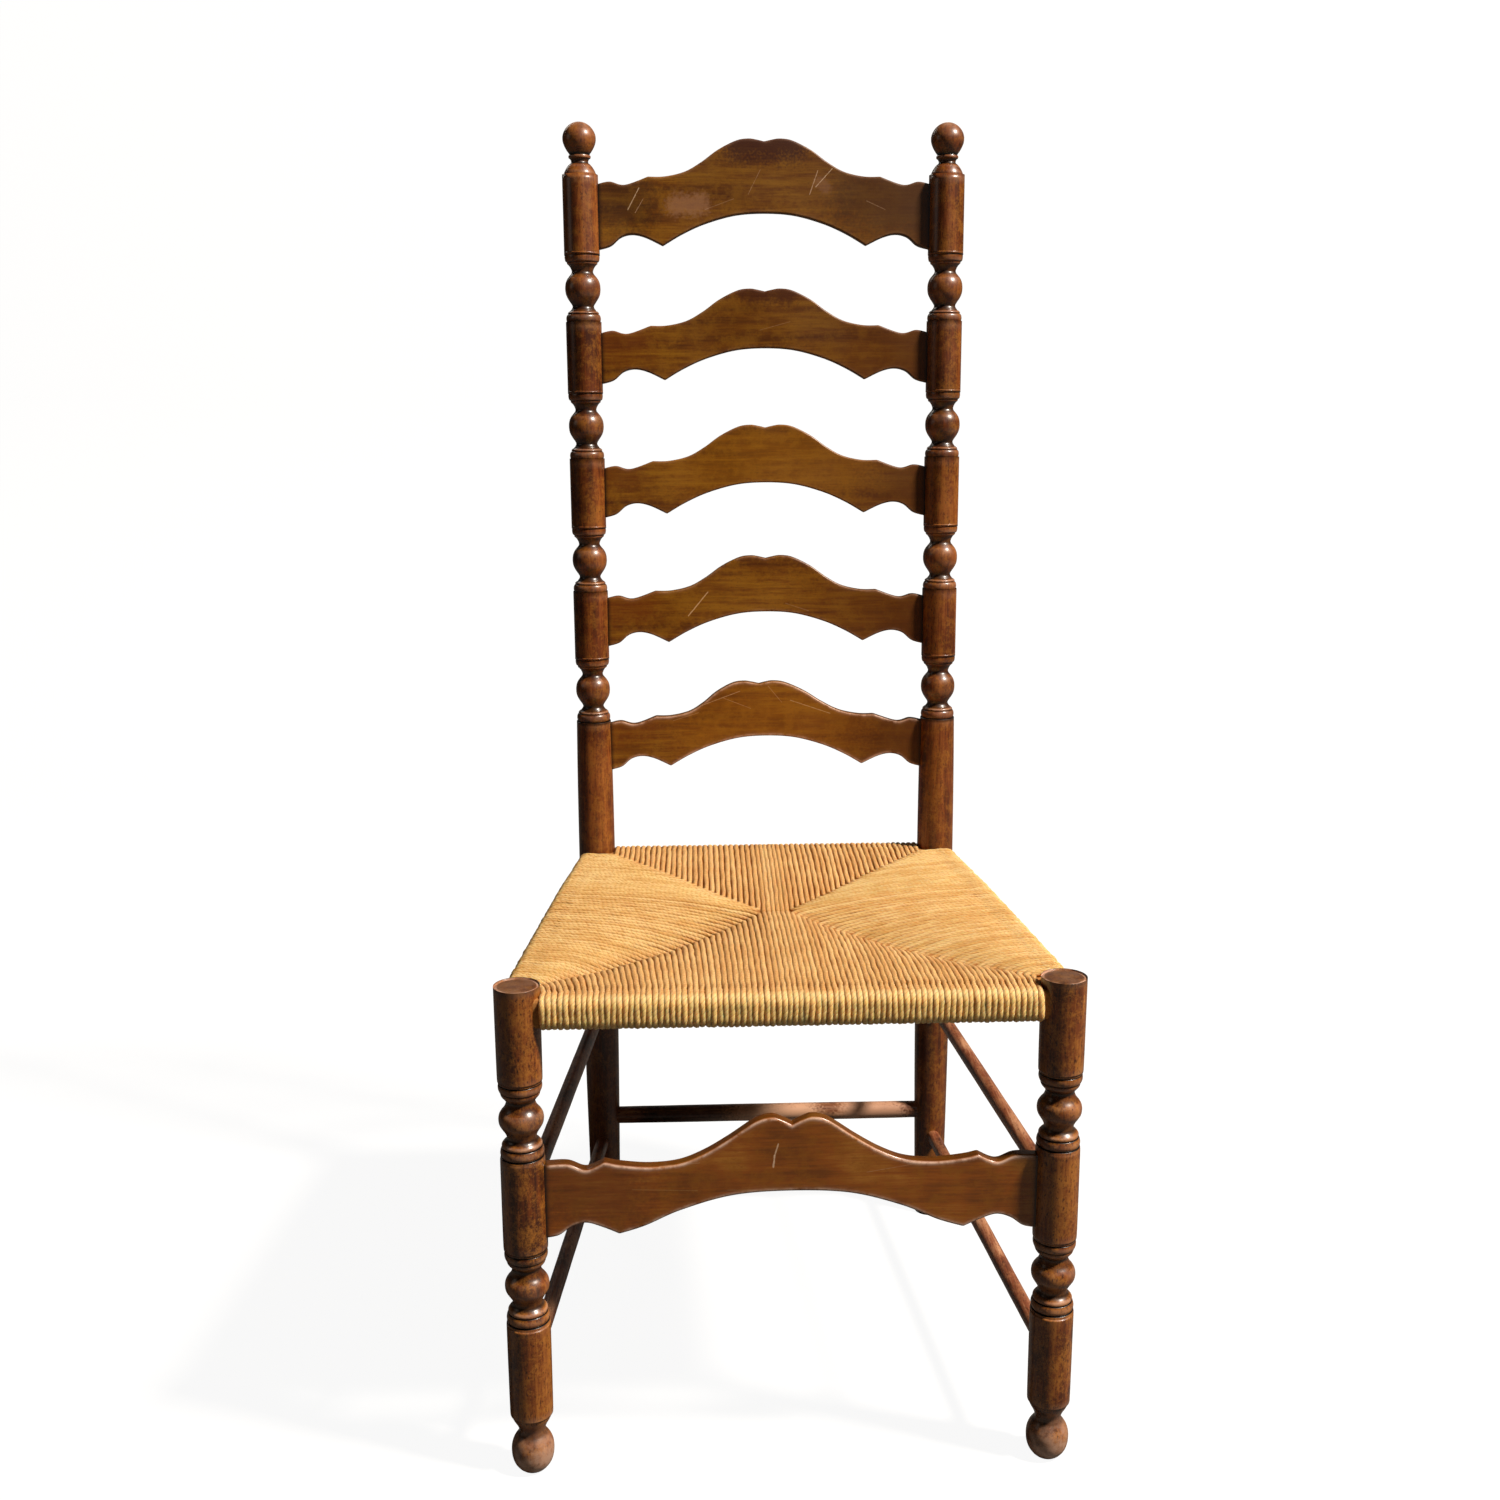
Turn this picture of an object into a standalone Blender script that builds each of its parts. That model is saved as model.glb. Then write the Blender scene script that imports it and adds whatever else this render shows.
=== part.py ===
"""Ladder back chair with turned posts, five shaped slats and a rush seat.

Metres, +Z up. +X is the viewer's right, +Y runs from the front posts to the back. The origin
lies on the floor under the middle of the chair's box. Every turned post, slat, rail, stretcher
and the rush seat is its own closed solid, and each tenon sits in a socket cut in its post.
"""
import math

import bmesh
import bpy
from mathutils import Vector

# Frame, measured between the axes of the posts
FRONT_POST_SPACING = 0.430
REAR_POST_SPACING = 0.355
SEAT_DEPTH = 0.4345
BACK_RAKE = math.radians(1.5)
BACK_SPLAY = math.radians(0.12)
FIT_CLEARANCE = 0.0003
SOCKET_END_CLEARANCE = 0.0005
SOCKET_WALL = 0.001
CUT_OVERRUN = 0.010
MERGE_DISTANCE = 0.00005
TURNING_SIDES = 14
SHARP_ANGLE = math.radians(40)

# Turned rear posts: the top bead hangs below the post's top, the lowest stands above the seat rail
REAR_POST_HEIGHT = 1.136
FINIAL_RADIUS = 0.0166
FINIAL_NECK_RADIUS = 0.0095
FINIAL_NECK_DROP = 0.038
FINIAL_SHOULDER_DROP = 0.052
FINIAL_COLLAR_WIDTH = 0.0026
FINIAL_STEPS = 8
REAR_DRUM_RADIUS = 0.0174
REAR_BEAD_RADIUS = 0.0172
REAR_NECK_RADIUS = 0.0102
REAR_TOP_BEAD_DROP = 0.1583
REAR_LOWEST_BEAD_RISE = 0.1778
REAR_BEAD_COUNT = 4
REAR_NECK_REACH = 0.0168
REAR_RING_RISE = 0.0181
REAR_RING_DROP = 0.0173
REAR_LEG_RADIUS = 0.0186
REAR_FOOT_RADIUS = 0.0150
REAR_LEG_TOP_RADIUS = 0.0180

# Turned front posts, from the seat rail's height up and down
FRONT_POST_RISE = 0.0205
FRONT_DOME_HEIGHT = 0.0025
FRONT_DRUM_RADIUS = 0.0182
FRONT_LOWER_DRUM_RADIUS = 0.0178
FRONT_BEAD_RADIUS = 0.0181
FRONT_NECK_RADIUS = 0.0121
FRONT_TOP_BEAD_DROP = 0.0909
FRONT_BEAD_PITCH = 0.1445
FRONT_NECK_REACH = 0.0148
FRONT_RING_RISE = 0.0172
FRONT_RING_DROP = 0.0174
FRONT_FOOT_NECK_HEIGHT = 0.0375
FRONT_FOOT_SHOULDER_HEIGHT = 0.0500
FRONT_FOOT_BALL_RADIUS = 0.0176
FRONT_FOOT_BALL_CENTRE = 0.0175
FRONT_FOOT_FLAT_RADIUS = 0.0085
FRONT_DRUM_EASING = 0.009
FOOT_BALL_STEPS = 7

# Ladder slats, their heights measured from the bead that each one faces
SLAT_THICKNESS = 0.009
SLAT_RISE = 0.0420
SLAT_ARCH_DEPTH = 0.0340
SLAT_WAIST = 0.0570
TOP_SLAT_EXTRA_DEPTH = 0.0122
SLAT_TENON_DEPTH = 0.014
TOP_SLAT_CREST_LIFT = 0.0080
SLAT_CREST_LIFTS = (0.0, 0.0010, 0.0034, 0.0072)
SLAT_CREST_SHIFTS = (0.0, 0.0, 0.0, 0.0, -0.0080)

# Shaped front stretcher board, its crest just below the front posts' top beads
BOARD_THICKNESS = 0.0110
BOARD_RISE = 0.0370
BOARD_ARCH_DEPTH = 0.0367
BOARD_WAIST = 0.0640
BOARD_CREST_DROP = 0.0016
BOARD_TENON_DEPTH = 0.0140

# Round stretchers: the upper ones hang below the seat rail, the others stand above the floor
SIDE_STRETCHER_RADIUS = 0.0080
REAR_STRETCHER_RADIUS = 0.0092
UPPER_STRETCHER_DROP = 0.1640
LOWER_STRETCHER_HEIGHT = 0.0920
REAR_STRETCHER_HEIGHT = 0.1165
STRETCHER_TENON_DEPTH = 0.0140
STRETCHER_SIDES = 16

# Seat rails and the rush wound round them
RAIL_HEIGHT = 0.4030
REAR_RAIL_DROP = 0.0045
RAIL_WIDTH = 0.0200
RAIL_THICKNESS = 0.0190
RAIL_ROUNDING = 0.0040
RAIL_ROUNDING_STEPS = 2
RAIL_TENON_RADIUS = 0.0060
RAIL_TENON_SIDES = 12
SIDE_RAIL_TENON_DEPTH = 0.0240
RUSH_LAYER = 0.0055
RUSH_ROUNDING = 0.0070
RUSH_ROUNDING_STEPS = 2
RUSH_RIM_ANGLE = math.radians(60)
SEAM_CROSSING_GAP = 0.0260
SEAM_DROP = 0.0170
SEAM_THICKNESS = 0.0100
FIELD_RINGS = 8

# Shapes of the turnings, as shares of the sizes above
FLARE_ABOVE_SHARES = ((0.25, 0.20), (0.52, 0.74), (0.74, 0.95), (0.93, 0.82))
FLARE_BELOW_SHARES = ((0.20, 0.16), (0.44, 0.76), (0.62, 0.96), (0.91, 0.84))
FRONT_FLARE_BELOW_SHARES = (
    (0.14, 0.22), (0.28, 0.62), (0.38, 0.72), (0.48, 0.58), (0.60, 0.92), (0.86, 0.96), (0.94, 0.78))
FINIAL_FLARE_SHARES = ((0.30, 0.12), (0.62, 0.66), (0.78, 0.94), (0.88, 0.94), (0.95, 0.80))
FOOT_FLARE_SHARES = ((0.30, 0.30), (0.62, 0.80), (0.80, 0.92))
BEAD_FULLNESS_SHARE = 1.2
BEAD_STEPS = 6
DOME_RADIUS_SHARE = 0.90
DOME_HEIGHT_SHARE = 0.55
DRUM_END_RADIUS_SHARE = 0.965

# Rush seat: where its seams cross, from the front posts' axes to the rear posts' at seat height;
# then, from the crossings (0) out to the corners (1), how far the seam sinks as a share of its
# drop, and how far the pad has grown to the thickness that wraps the rails
SEAM_CROSSING_SHARE = 0.58
FRONT_SEAM_SHARES = ((0.0, 0.88), (0.18, 1.0), (0.41, 0.95), (0.65, 0.61), (0.85, 0.09), (1.0, 0.0))
REAR_SEAM_SHARES = ((0.0, 0.88), (0.19, 0.68), (0.46, 0.26), (0.80, 0.03), (1.0, 0.0))
RIM_THICKNESS_SHARES = ((0.0, 0.0), (0.65, 0.0), (0.88, 1.0), (1.0, 1.0))
FIELD_CROWN_SHARE = 1.25
LEG_SWELL_HEIGHT_SHARE = 0.86
LEG_TAPER_HEIGHT_SHARE = 0.38
LEG_TAPER_RADIUS_SHARE = 0.94

# Outlines of slat and board from the middle to the post: (share of the half span, share of the
# rise or of the arch depth, whether the point is a corner)
SLAT_TOP_SHARES = (
    (0.0, 0.935, True), (0.045, 0.975, False), (0.095, 1.0, False), (0.17, 0.955, False),
    (0.28, 0.75, False), (0.38, 0.48, False), (0.48, 0.27, False), (0.60, 0.165, False),
    (0.70, 0.16, True), (0.84, -0.02, False), (0.93, 0.05, False))
SLAT_BOTTOM_SHARES = (
    (0.93, 0.10, False), (0.87, 0.33, False), (0.80, 0.41, False), (0.72, 0.33, False),
    (0.617, 0.10, True), (0.50, 0.42, False), (0.36, 0.71, False), (0.18, 0.94, False))
BOARD_TOP_SHARES = (
    (0.0, 0.82, True), (0.04, 0.93, False), (0.085, 1.0, False), (0.15, 0.90, False),
    (0.26, 0.50, False), (0.36, 0.18, False), (0.46, -0.03, False), (0.58, -0.09, False),
    (0.70, -0.03, False), (0.76, 0.04, True), (0.835, -0.13, False), (0.91, 0.01, False))
BOARD_BOTTOM_SHARES = (
    (0.95, 0.06, False), (0.90, 0.25, False), (0.84, 0.34, False), (0.77, 0.22, False),
    (0.705, 0.06, True), (0.60, 0.24, False), (0.45, 0.60, False), (0.24, 0.92, False))
OUTLINE_RESOLUTION = 3

# Colours as sRGB hex values
POST_BROWN = "6B3417"
SLAT_BROWN = "6E4317"
BOARD_BROWN = "6A3A16"
ROD_BROWN = "5C3019"
RAIL_BEECH = "A87B4C"
RUSH_STRAW = "D9A25A"
WOOD_ROUGHNESS = 0.38
RAW_WOOD_ROUGHNESS = 0.65
RUSH_ROUGHNESS = 0.72


def clear_scene():
    for item in list(bpy.data.objects):
        bpy.data.objects.remove(item, do_unlink=True)


def new_collection(name):
    collection = bpy.data.collections.new(name)
    bpy.context.scene.collection.children.link(collection)
    return collection


def linear_colour(hex_value):
    channels = [int(hex_value[i:i + 2], 16) / 255 for i in (0, 2, 4)]
    return [c / 12.92 if c <= 0.04045 else ((c + 0.055) / 1.055) ** 2.4 for c in channels] + [1.0]


def finish(name, hex_value, roughness):
    material = bpy.data.materials.new(name)
    material.use_nodes = True
    shader = material.node_tree.nodes["Principled BSDF"]
    shader.inputs["Base Color"].default_value = linear_colour(hex_value)
    shader.inputs["Roughness"].default_value = roughness
    shader.inputs["Metallic"].default_value = 0.0
    return material


def add_object(name, data, collection, material=None):
    item = bpy.data.objects.new(name, data)
    collection.objects.link(item)
    if material:
        data.materials.append(material)
    return item


def add_cutter(name, data):
    cutter = add_object(name, data, cutters)
    cutter.hide_render = True
    cutter.display_type = "WIRE"
    return cutter


def cut(target, cutter):
    boolean = target.modifiers.new("cut_" + cutter.name, "BOOLEAN")
    boolean.operation = "DIFFERENCE"
    boolean.solver = "EXACT"
    boolean.object = cutter


def front_axis(side, height):
    """Point on a front post's axis; side is -1 on the left and 1 on the right."""
    return Vector((side * FRONT_POST_SPACING / 2, front_line, height))


def rear_axis(side, height):
    """Point on a raked and slightly splayed rear post's axis."""
    above_rail = height - RAIL_HEIGHT
    half = REAR_POST_SPACING / 2 + math.tan(BACK_SPLAY) * above_rail
    return Vector((side * half, front_line + SEAT_DEPTH + math.tan(BACK_RAKE) * above_rail, height))


def rear_bead_heights():
    """Centres of the rear posts' beads from the top down, evenly spaced."""
    highest = REAR_POST_HEIGHT - REAR_TOP_BEAD_DROP
    lowest = RAIL_HEIGHT + REAR_LOWEST_BEAD_RISE
    pitch = (highest - lowest) / (REAR_BEAD_COUNT - 1)
    return [highest - pitch * index for index in range(REAR_BEAD_COUNT)]


def flare(shares, start_height, end_height, start_radius, end_radius):
    """Ring and cove between a neck and a drum, in the order of the shares."""
    return [(start_radius + (end_radius - start_radius) * radius_share,
             start_height + (end_height - start_height) * height_share)
            for height_share, radius_share in shares]


def bead(centre, reach, neck_radius, radius):
    """Half-oval bulge from the neck above to the neck below."""
    points = []
    for step in range(BEAD_STEPS + 1):
        turn = math.pi * step / BEAD_STEPS
        fullness = max(math.sin(turn), 0.0) ** BEAD_FULLNESS_SHARE
        points.append((neck_radius + (radius - neck_radius) * fullness,
                       centre + reach * math.cos(turn)))
    return points


def bead_group(centre, reach, rise, drop, neck_radius, bead_radius, drum_above, drum_below, below_shares):
    """End of the drum above, flare, bead, flare and start of the drum below."""
    top = centre + reach + rise
    bottom = centre - reach - drop
    above = flare(FLARE_ABOVE_SHARES, centre + reach, top, neck_radius, drum_above)
    below = flare(below_shares, centre - reach, bottom, neck_radius, drum_below)
    return ([(drum_above, top)] + above[::-1] + bead(centre, reach, neck_radius, bead_radius)
            + below + [(drum_below, bottom)])


def finial():
    """Ball on a collar, above the shoulder of the first drum."""
    ball_centre = REAR_POST_HEIGHT - FINIAL_RADIUS
    neck_height = REAR_POST_HEIGHT - FINIAL_NECK_DROP
    shoulder_height = REAR_POST_HEIGHT - FINIAL_SHOULDER_DROP
    neck_turn = math.pi - math.asin(FINIAL_NECK_RADIUS / FINIAL_RADIUS)
    ball = []
    for step in range(FINIAL_STEPS):
        turn = neck_turn * step / (FINIAL_STEPS - 1)
        ball.append((FINIAL_RADIUS * math.sin(turn), ball_centre + FINIAL_RADIUS * math.cos(turn)))
    collar_radius = FINIAL_NECK_RADIUS + FINIAL_COLLAR_WIDTH
    collar_top = ball[-1][1] - FINIAL_COLLAR_WIDTH / 2
    collar = [(collar_radius, collar_top), (collar_radius, collar_top - FINIAL_COLLAR_WIDTH)]
    neck = [(FINIAL_NECK_RADIUS, neck_height)]
    shoulder = flare(FINIAL_FLARE_SHARES, neck_height, shoulder_height, FINIAL_NECK_RADIUS, REAR_DRUM_RADIUS)
    return ball + collar + neck + shoulder + [(REAR_DRUM_RADIUS, shoulder_height)]


def rear_profile():
    """Radius and height pairs from the finial down to the foot."""
    points = finial()
    centres = rear_bead_heights()
    for centre in centres:
        drum_below = REAR_LEG_TOP_RADIUS if centre == centres[-1] else REAR_DRUM_RADIUS
        points += bead_group(centre, REAR_NECK_REACH, REAR_RING_RISE, REAR_RING_DROP, REAR_NECK_RADIUS,
                             REAR_BEAD_RADIUS, REAR_DRUM_RADIUS, drum_below, FLARE_BELOW_SHARES)
    leg_top = points[-1][1]
    points.append((REAR_LEG_RADIUS, leg_top * LEG_SWELL_HEIGHT_SHARE))
    points.append((REAR_LEG_RADIUS * LEG_TAPER_RADIUS_SHARE, leg_top * LEG_TAPER_HEIGHT_SHARE))
    points.append((REAR_FOOT_RADIUS, 0.0))
    points.append((REAR_FOOT_RADIUS, -CUT_OVERRUN))
    points.append((0.0, -CUT_OVERRUN))
    return points


def front_profile():
    """Radius and height pairs from the domed top down to the ball foot."""
    top = RAIL_HEIGHT + FRONT_POST_RISE
    rim = top - FRONT_DOME_HEIGHT
    points = [(0.0, top),
              (FRONT_DRUM_RADIUS * DOME_RADIUS_SHARE, rim + FRONT_DOME_HEIGHT * DOME_HEIGHT_SHARE),
              (FRONT_DRUM_RADIUS, rim)]
    top_bead = RAIL_HEIGHT - FRONT_TOP_BEAD_DROP
    for index, centre in enumerate((top_bead, top_bead - FRONT_BEAD_PITCH)):
        drum_above = FRONT_LOWER_DRUM_RADIUS if index else FRONT_DRUM_RADIUS
        end_height = centre + FRONT_NECK_REACH + FRONT_RING_RISE
        points.append((drum_above, end_height + FRONT_DRUM_EASING))
        group = bead_group(centre, FRONT_NECK_REACH, FRONT_RING_RISE, FRONT_RING_DROP, FRONT_NECK_RADIUS,
                           FRONT_BEAD_RADIUS, drum_above * DRUM_END_RADIUS_SHARE,
                           FRONT_LOWER_DRUM_RADIUS, FRONT_FLARE_BELOW_SHARES)
        points += group
    points.append((FRONT_LOWER_DRUM_RADIUS, FRONT_FOOT_SHOULDER_HEIGHT + FRONT_DRUM_EASING))
    shoulder_radius = FRONT_LOWER_DRUM_RADIUS * DRUM_END_RADIUS_SHARE
    foot_flare = flare(FOOT_FLARE_SHARES, FRONT_FOOT_NECK_HEIGHT, FRONT_FOOT_SHOULDER_HEIGHT,
                       FRONT_NECK_RADIUS, shoulder_radius)
    points.append((shoulder_radius, FRONT_FOOT_SHOULDER_HEIGHT))
    points += foot_flare[::-1]
    points += foot_ball()
    points.append((0.0, 0.0))
    return points


def foot_ball():
    """Ball foot from the neck above it down to the flat it stands on."""
    first_turn = math.asin(FRONT_NECK_RADIUS / FRONT_FOOT_BALL_RADIUS)
    last_turn = math.pi - math.asin(FRONT_FOOT_FLAT_RADIUS / FRONT_FOOT_BALL_RADIUS)
    upper_reach = (FRONT_FOOT_NECK_HEIGHT - FRONT_FOOT_BALL_CENTRE) / math.cos(first_turn)
    lower_reach = -FRONT_FOOT_BALL_CENTRE / math.cos(last_turn)
    points = []
    for step in range(FOOT_BALL_STEPS + 1):
        turn = first_turn + (last_turn - first_turn) * step / FOOT_BALL_STEPS
        reach = upper_reach if turn < math.pi / 2 else lower_reach
        points.append((FRONT_FOOT_BALL_RADIUS * math.sin(turn), FRONT_FOOT_BALL_CENTRE + reach * math.cos(turn)))
    return points


def frame_front_line():
    """Y of the front posts' axes that centres the chair's box on the origin."""
    foremost = -FRONT_DRUM_RADIUS
    rearmost = max(SEAT_DEPTH + math.tan(BACK_RAKE) * (height - RAIL_HEIGHT) + radius * math.cos(BACK_RAKE)
                   for radius, height in rear_profile())
    return -(foremost + rearmost) / 2


def turned(name, profile, material):
    """A profile of edges at +X, spun round Z by a Screw modifier."""
    mesh = bpy.data.meshes.new(name)
    mesh.from_pydata([(radius, 0.0, height) for radius, height in profile],
                     [(i, i + 1) for i in range(len(profile) - 1)], [])
    item = add_object(name, mesh, parts, material)
    screw = item.modifiers.new("turning", "SCREW")
    screw.axis = "Z"
    screw.angle = math.tau
    screw.steps = TURNING_SIDES
    screw.render_steps = TURNING_SIDES
    screw.use_merge_vertices = True
    screw.merge_threshold = MERGE_DISTANCE
    screw.use_smooth_shade = True
    return item


def add_rod_between(name, start, end, radius, sides, collection, material=None):
    """Round rod from one point to another."""
    bpy.ops.mesh.primitive_cylinder_add(vertices=sides, radius=radius, depth=(end - start).length)
    rod = bpy.context.active_object
    for owner in list(rod.users_collection):
        owner.objects.unlink(rod)
    collection.objects.link(rod)
    rod.name = name
    rod.location = (start + end) / 2
    rod.rotation_euler = (end - start).to_track_quat("Z", "X").to_euler()
    rod.data.shade_smooth()
    rod.data.set_sharp_from_angle(angle=SHARP_ANGLE)
    if material:
        rod.data.materials.append(material)
    if collection is cutters:
        rod.hide_render = True
        rod.display_type = "WIRE"
    return rod


def add_box(name, size, location, collection, rotation=(0.0, 0.0, 0.0)):
    """Box with its scale applied, so bevels keep their width."""
    mesh = bpy.data.meshes.new(name)
    shape = bmesh.new()
    bmesh.ops.create_cube(shape, size=1.0)
    bmesh.ops.scale(shape, vec=size, verts=shape.verts)
    shape.to_mesh(mesh)
    shape.free()
    box = add_cutter(name, mesh) if collection is cutters else add_object(name, mesh, collection)
    box.location = location
    box.rotation_euler = rotation
    return box


def outline_points(top_shares, bottom_shares, half_span, end_reach, rise, waist, arch_depth, crest_shift=0.0):
    """Closed outline with its crest at zero height: right half, then its mirror on the left."""
    end_top = -rise
    end_bottom = -waist - arch_depth
    right = [(half_span * x, end_top + rise * y, corner) for x, y, corner in top_shares]
    right += [(half_span, end_top, True), (end_reach, end_top, True),
              (end_reach, end_bottom, True), (half_span, end_bottom, True)]
    right += [(half_span * x, end_bottom + arch_depth * y, corner) for x, y, corner in bottom_shares]
    arch_top = [(0.0, -waist, False)]
    left = [(-x, y, corner) for x, y, corner in right[:0:-1]]
    outline = right + arch_top + left
    return [(x + crest_shift * max(1.0 + y / rise, 0.0), y, corner) for x, y, corner in outline]


def shaped_board(name, points, thickness, material):
    """Flat board cut to a smooth outline, as a filled curve made into a mesh."""
    curve = bpy.data.curves.new(name, "CURVE")
    curve.dimensions = "2D"
    curve.fill_mode = "BOTH"
    curve.extrude = thickness / 2
    curve.resolution_u = OUTLINE_RESOLUTION
    spline = curve.splines.new("BEZIER")
    spline.bezier_points.add(len(points) - 1)
    for point, (x, y, corner) in zip(spline.bezier_points, points):
        point.co = (x, y, 0.0)
        point.handle_left_type = "VECTOR" if corner else "AUTO"
        point.handle_right_type = "VECTOR" if corner else "AUTO"
    spline.use_cyclic_u = True
    guide = add_object(name + "_outline", curve, cutters)
    bpy.context.view_layer.update()
    mesh = bpy.data.meshes.new_from_object(guide.evaluated_get(bpy.context.evaluated_depsgraph_get()))
    bpy.data.objects.remove(guide, do_unlink=True)
    shape = bmesh.new()
    shape.from_mesh(mesh)
    bmesh.ops.remove_doubles(shape, verts=shape.verts, dist=MERGE_DISTANCE)
    bmesh.ops.recalc_face_normals(shape, faces=shape.faces)
    shape.to_mesh(mesh)
    shape.free()
    mesh.name = name
    mesh.materials.clear()
    mesh.shade_smooth()
    mesh.set_sharp_from_angle(angle=SHARP_ANGLE)
    return add_object(name, mesh, parts, material)


def add_slats():
    """Five slats between the rear posts, each in a mortise in both."""
    beads = rear_bead_heights()
    crest_heights = [2 * beads[0] - beads[1] + TOP_SLAT_CREST_LIFT]
    crest_heights += [centre + lift for centre, lift in zip(beads, SLAT_CREST_LIFTS)]
    for number, crest in enumerate(crest_heights, start=1):
        waist = SLAT_WAIST + (TOP_SLAT_EXTRA_DEPTH if number == 1 else 0.0)
        middle = crest - SLAT_RISE
        axis = rear_axis(1, middle)
        half_span = axis.x - REAR_DRUM_RADIUS
        end_reach = half_span + SLAT_TENON_DEPTH
        points = outline_points(SLAT_TOP_SHARES, SLAT_BOTTOM_SHARES, half_span, end_reach,
                                SLAT_RISE, waist, SLAT_ARCH_DEPTH, SLAT_CREST_SHIFTS[number - 1])
        name = "ladder_slat_%d" % number
        slat = shaped_board(name, points, SLAT_THICKNESS, slat_wood)
        tilt = math.pi / 2 - BACK_RAKE
        slat.location = (0.0, rear_axis(1, crest).y, crest)
        slat.rotation_euler = (tilt, 0.0, 0.0)
        end_height = waist + SLAT_ARCH_DEPTH - SLAT_RISE
        below_crest = SLAT_RISE + end_height / 2
        size = (2 * (end_reach + SOCKET_END_CLEARANCE), SLAT_THICKNESS + 2 * FIT_CLEARANCE,
                end_height + 2 * FIT_CLEARANCE)
        centre = Vector((0.0, slat.location.y - math.sin(BACK_RAKE) * below_crest,
                         crest - math.cos(BACK_RAKE) * below_crest))
        mortise = add_box(name + "_mortise", size, centre, cutters, (-BACK_RAKE, 0.0, 0.0))
        for post in rear_posts:
            cut(post, mortise)


def add_front_board():
    """Shaped board stretcher between the front posts."""
    half_span = FRONT_POST_SPACING / 2 - FRONT_LOWER_DRUM_RADIUS
    end_reach = half_span + BOARD_TENON_DEPTH
    points = outline_points(BOARD_TOP_SHARES, BOARD_BOTTOM_SHARES, half_span, end_reach,
                            BOARD_RISE, BOARD_WAIST, BOARD_ARCH_DEPTH)
    board = shaped_board("front_stretcher_board", points, BOARD_THICKNESS, board_wood)
    crest = RAIL_HEIGHT - FRONT_TOP_BEAD_DROP - BOARD_CREST_DROP
    board.location = (0.0, front_line, crest)
    board.rotation_euler = (math.pi / 2, 0.0, 0.0)
    end_height = BOARD_WAIST + BOARD_ARCH_DEPTH - BOARD_RISE
    size = (2 * (end_reach + SOCKET_END_CLEARANCE), BOARD_THICKNESS + 2 * FIT_CLEARANCE,
            end_height + 2 * FIT_CLEARANCE)
    centre = (0.0, front_line, crest - BOARD_RISE - end_height / 2)
    mortise = add_box("front_board_mortise", size, centre, cutters)
    for post in front_posts:
        cut(post, mortise)


def member_ends(start_axis, end_axis, start_reach, end_reach):
    """Tips of a member whose ends stop the given distances short of two post axes."""
    direction = (end_axis - start_axis).normalized()
    return start_axis + direction * start_reach, end_axis - direction * end_reach


def add_stretcher(name, start_axis, end_axis, reaches, radius, posts):
    """Round stretcher with its ends in sockets of two posts."""
    start, end = member_ends(start_axis, end_axis, *reaches)
    add_rod_between(name, start, end, radius, STRETCHER_SIDES, parts, rod_wood)
    direction = (end - start).normalized()
    margin = direction * SOCKET_END_CLEARANCE
    socket = add_rod_between(name + "_socket", start - margin, end + margin,
                             radius + FIT_CLEARANCE, STRETCHER_SIDES, cutters)
    for post in posts:
        cut(post, socket)


def add_stretchers():
    """Two round stretchers on each side and one at the back."""
    board_clearance = BOARD_THICKNESS / 2 + FIT_CLEARANCE + SOCKET_WALL + SOCKET_END_CLEARANCE
    rear_reach = REAR_LEG_RADIUS - STRETCHER_TENON_DEPTH
    for side, side_name in ((-1, "left"), (1, "right")):
        posts = (front_posts[(side + 1) // 2], rear_posts[(side + 1) // 2])
        for level, height, front_reach in (
                ("upper", RAIL_HEIGHT - UPPER_STRETCHER_DROP, board_clearance),
                ("lower", LOWER_STRETCHER_HEIGHT, FRONT_LOWER_DRUM_RADIUS - STRETCHER_TENON_DEPTH)):
            add_stretcher("side_stretcher_%s_%s" % (level, side_name), front_axis(side, height),
                          rear_axis(side, height), (front_reach, rear_reach), SIDE_STRETCHER_RADIUS, posts)
    add_stretcher("rear_stretcher", rear_axis(-1, REAR_STRETCHER_HEIGHT), rear_axis(1, REAR_STRETCHER_HEIGHT),
                  (rear_reach, rear_reach), REAR_STRETCHER_RADIUS, rear_posts)


def rail_body(name, start, end, extra, collection):
    """Rounded rectangular bar from one point to another, grown by extra on every face."""
    length = (end - start).length
    size = (RAIL_WIDTH + 2 * extra, RAIL_THICKNESS + 2 * extra, length)
    mesh = bpy.data.meshes.new(name)
    shape = bmesh.new()
    bmesh.ops.create_cube(shape, size=1.0)
    bmesh.ops.scale(shape, vec=size, verts=shape.verts)
    long_edges = [e for e in shape.edges if abs(e.verts[0].co.z - e.verts[1].co.z) > length / 2]
    bmesh.ops.bevel(shape, geom=long_edges, offset=RAIL_ROUNDING + extra, segments=RAIL_ROUNDING_STEPS,
                    profile=0.5, affect="EDGES")
    shape.to_mesh(mesh)
    shape.free()
    body = add_cutter(name, mesh) if collection is cutters else add_object(name, mesh, collection, rail_wood)
    body.location = (start + end) / 2
    body.rotation_euler = (end - start).to_track_quat("Z", "Y").to_euler()
    return body


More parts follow.
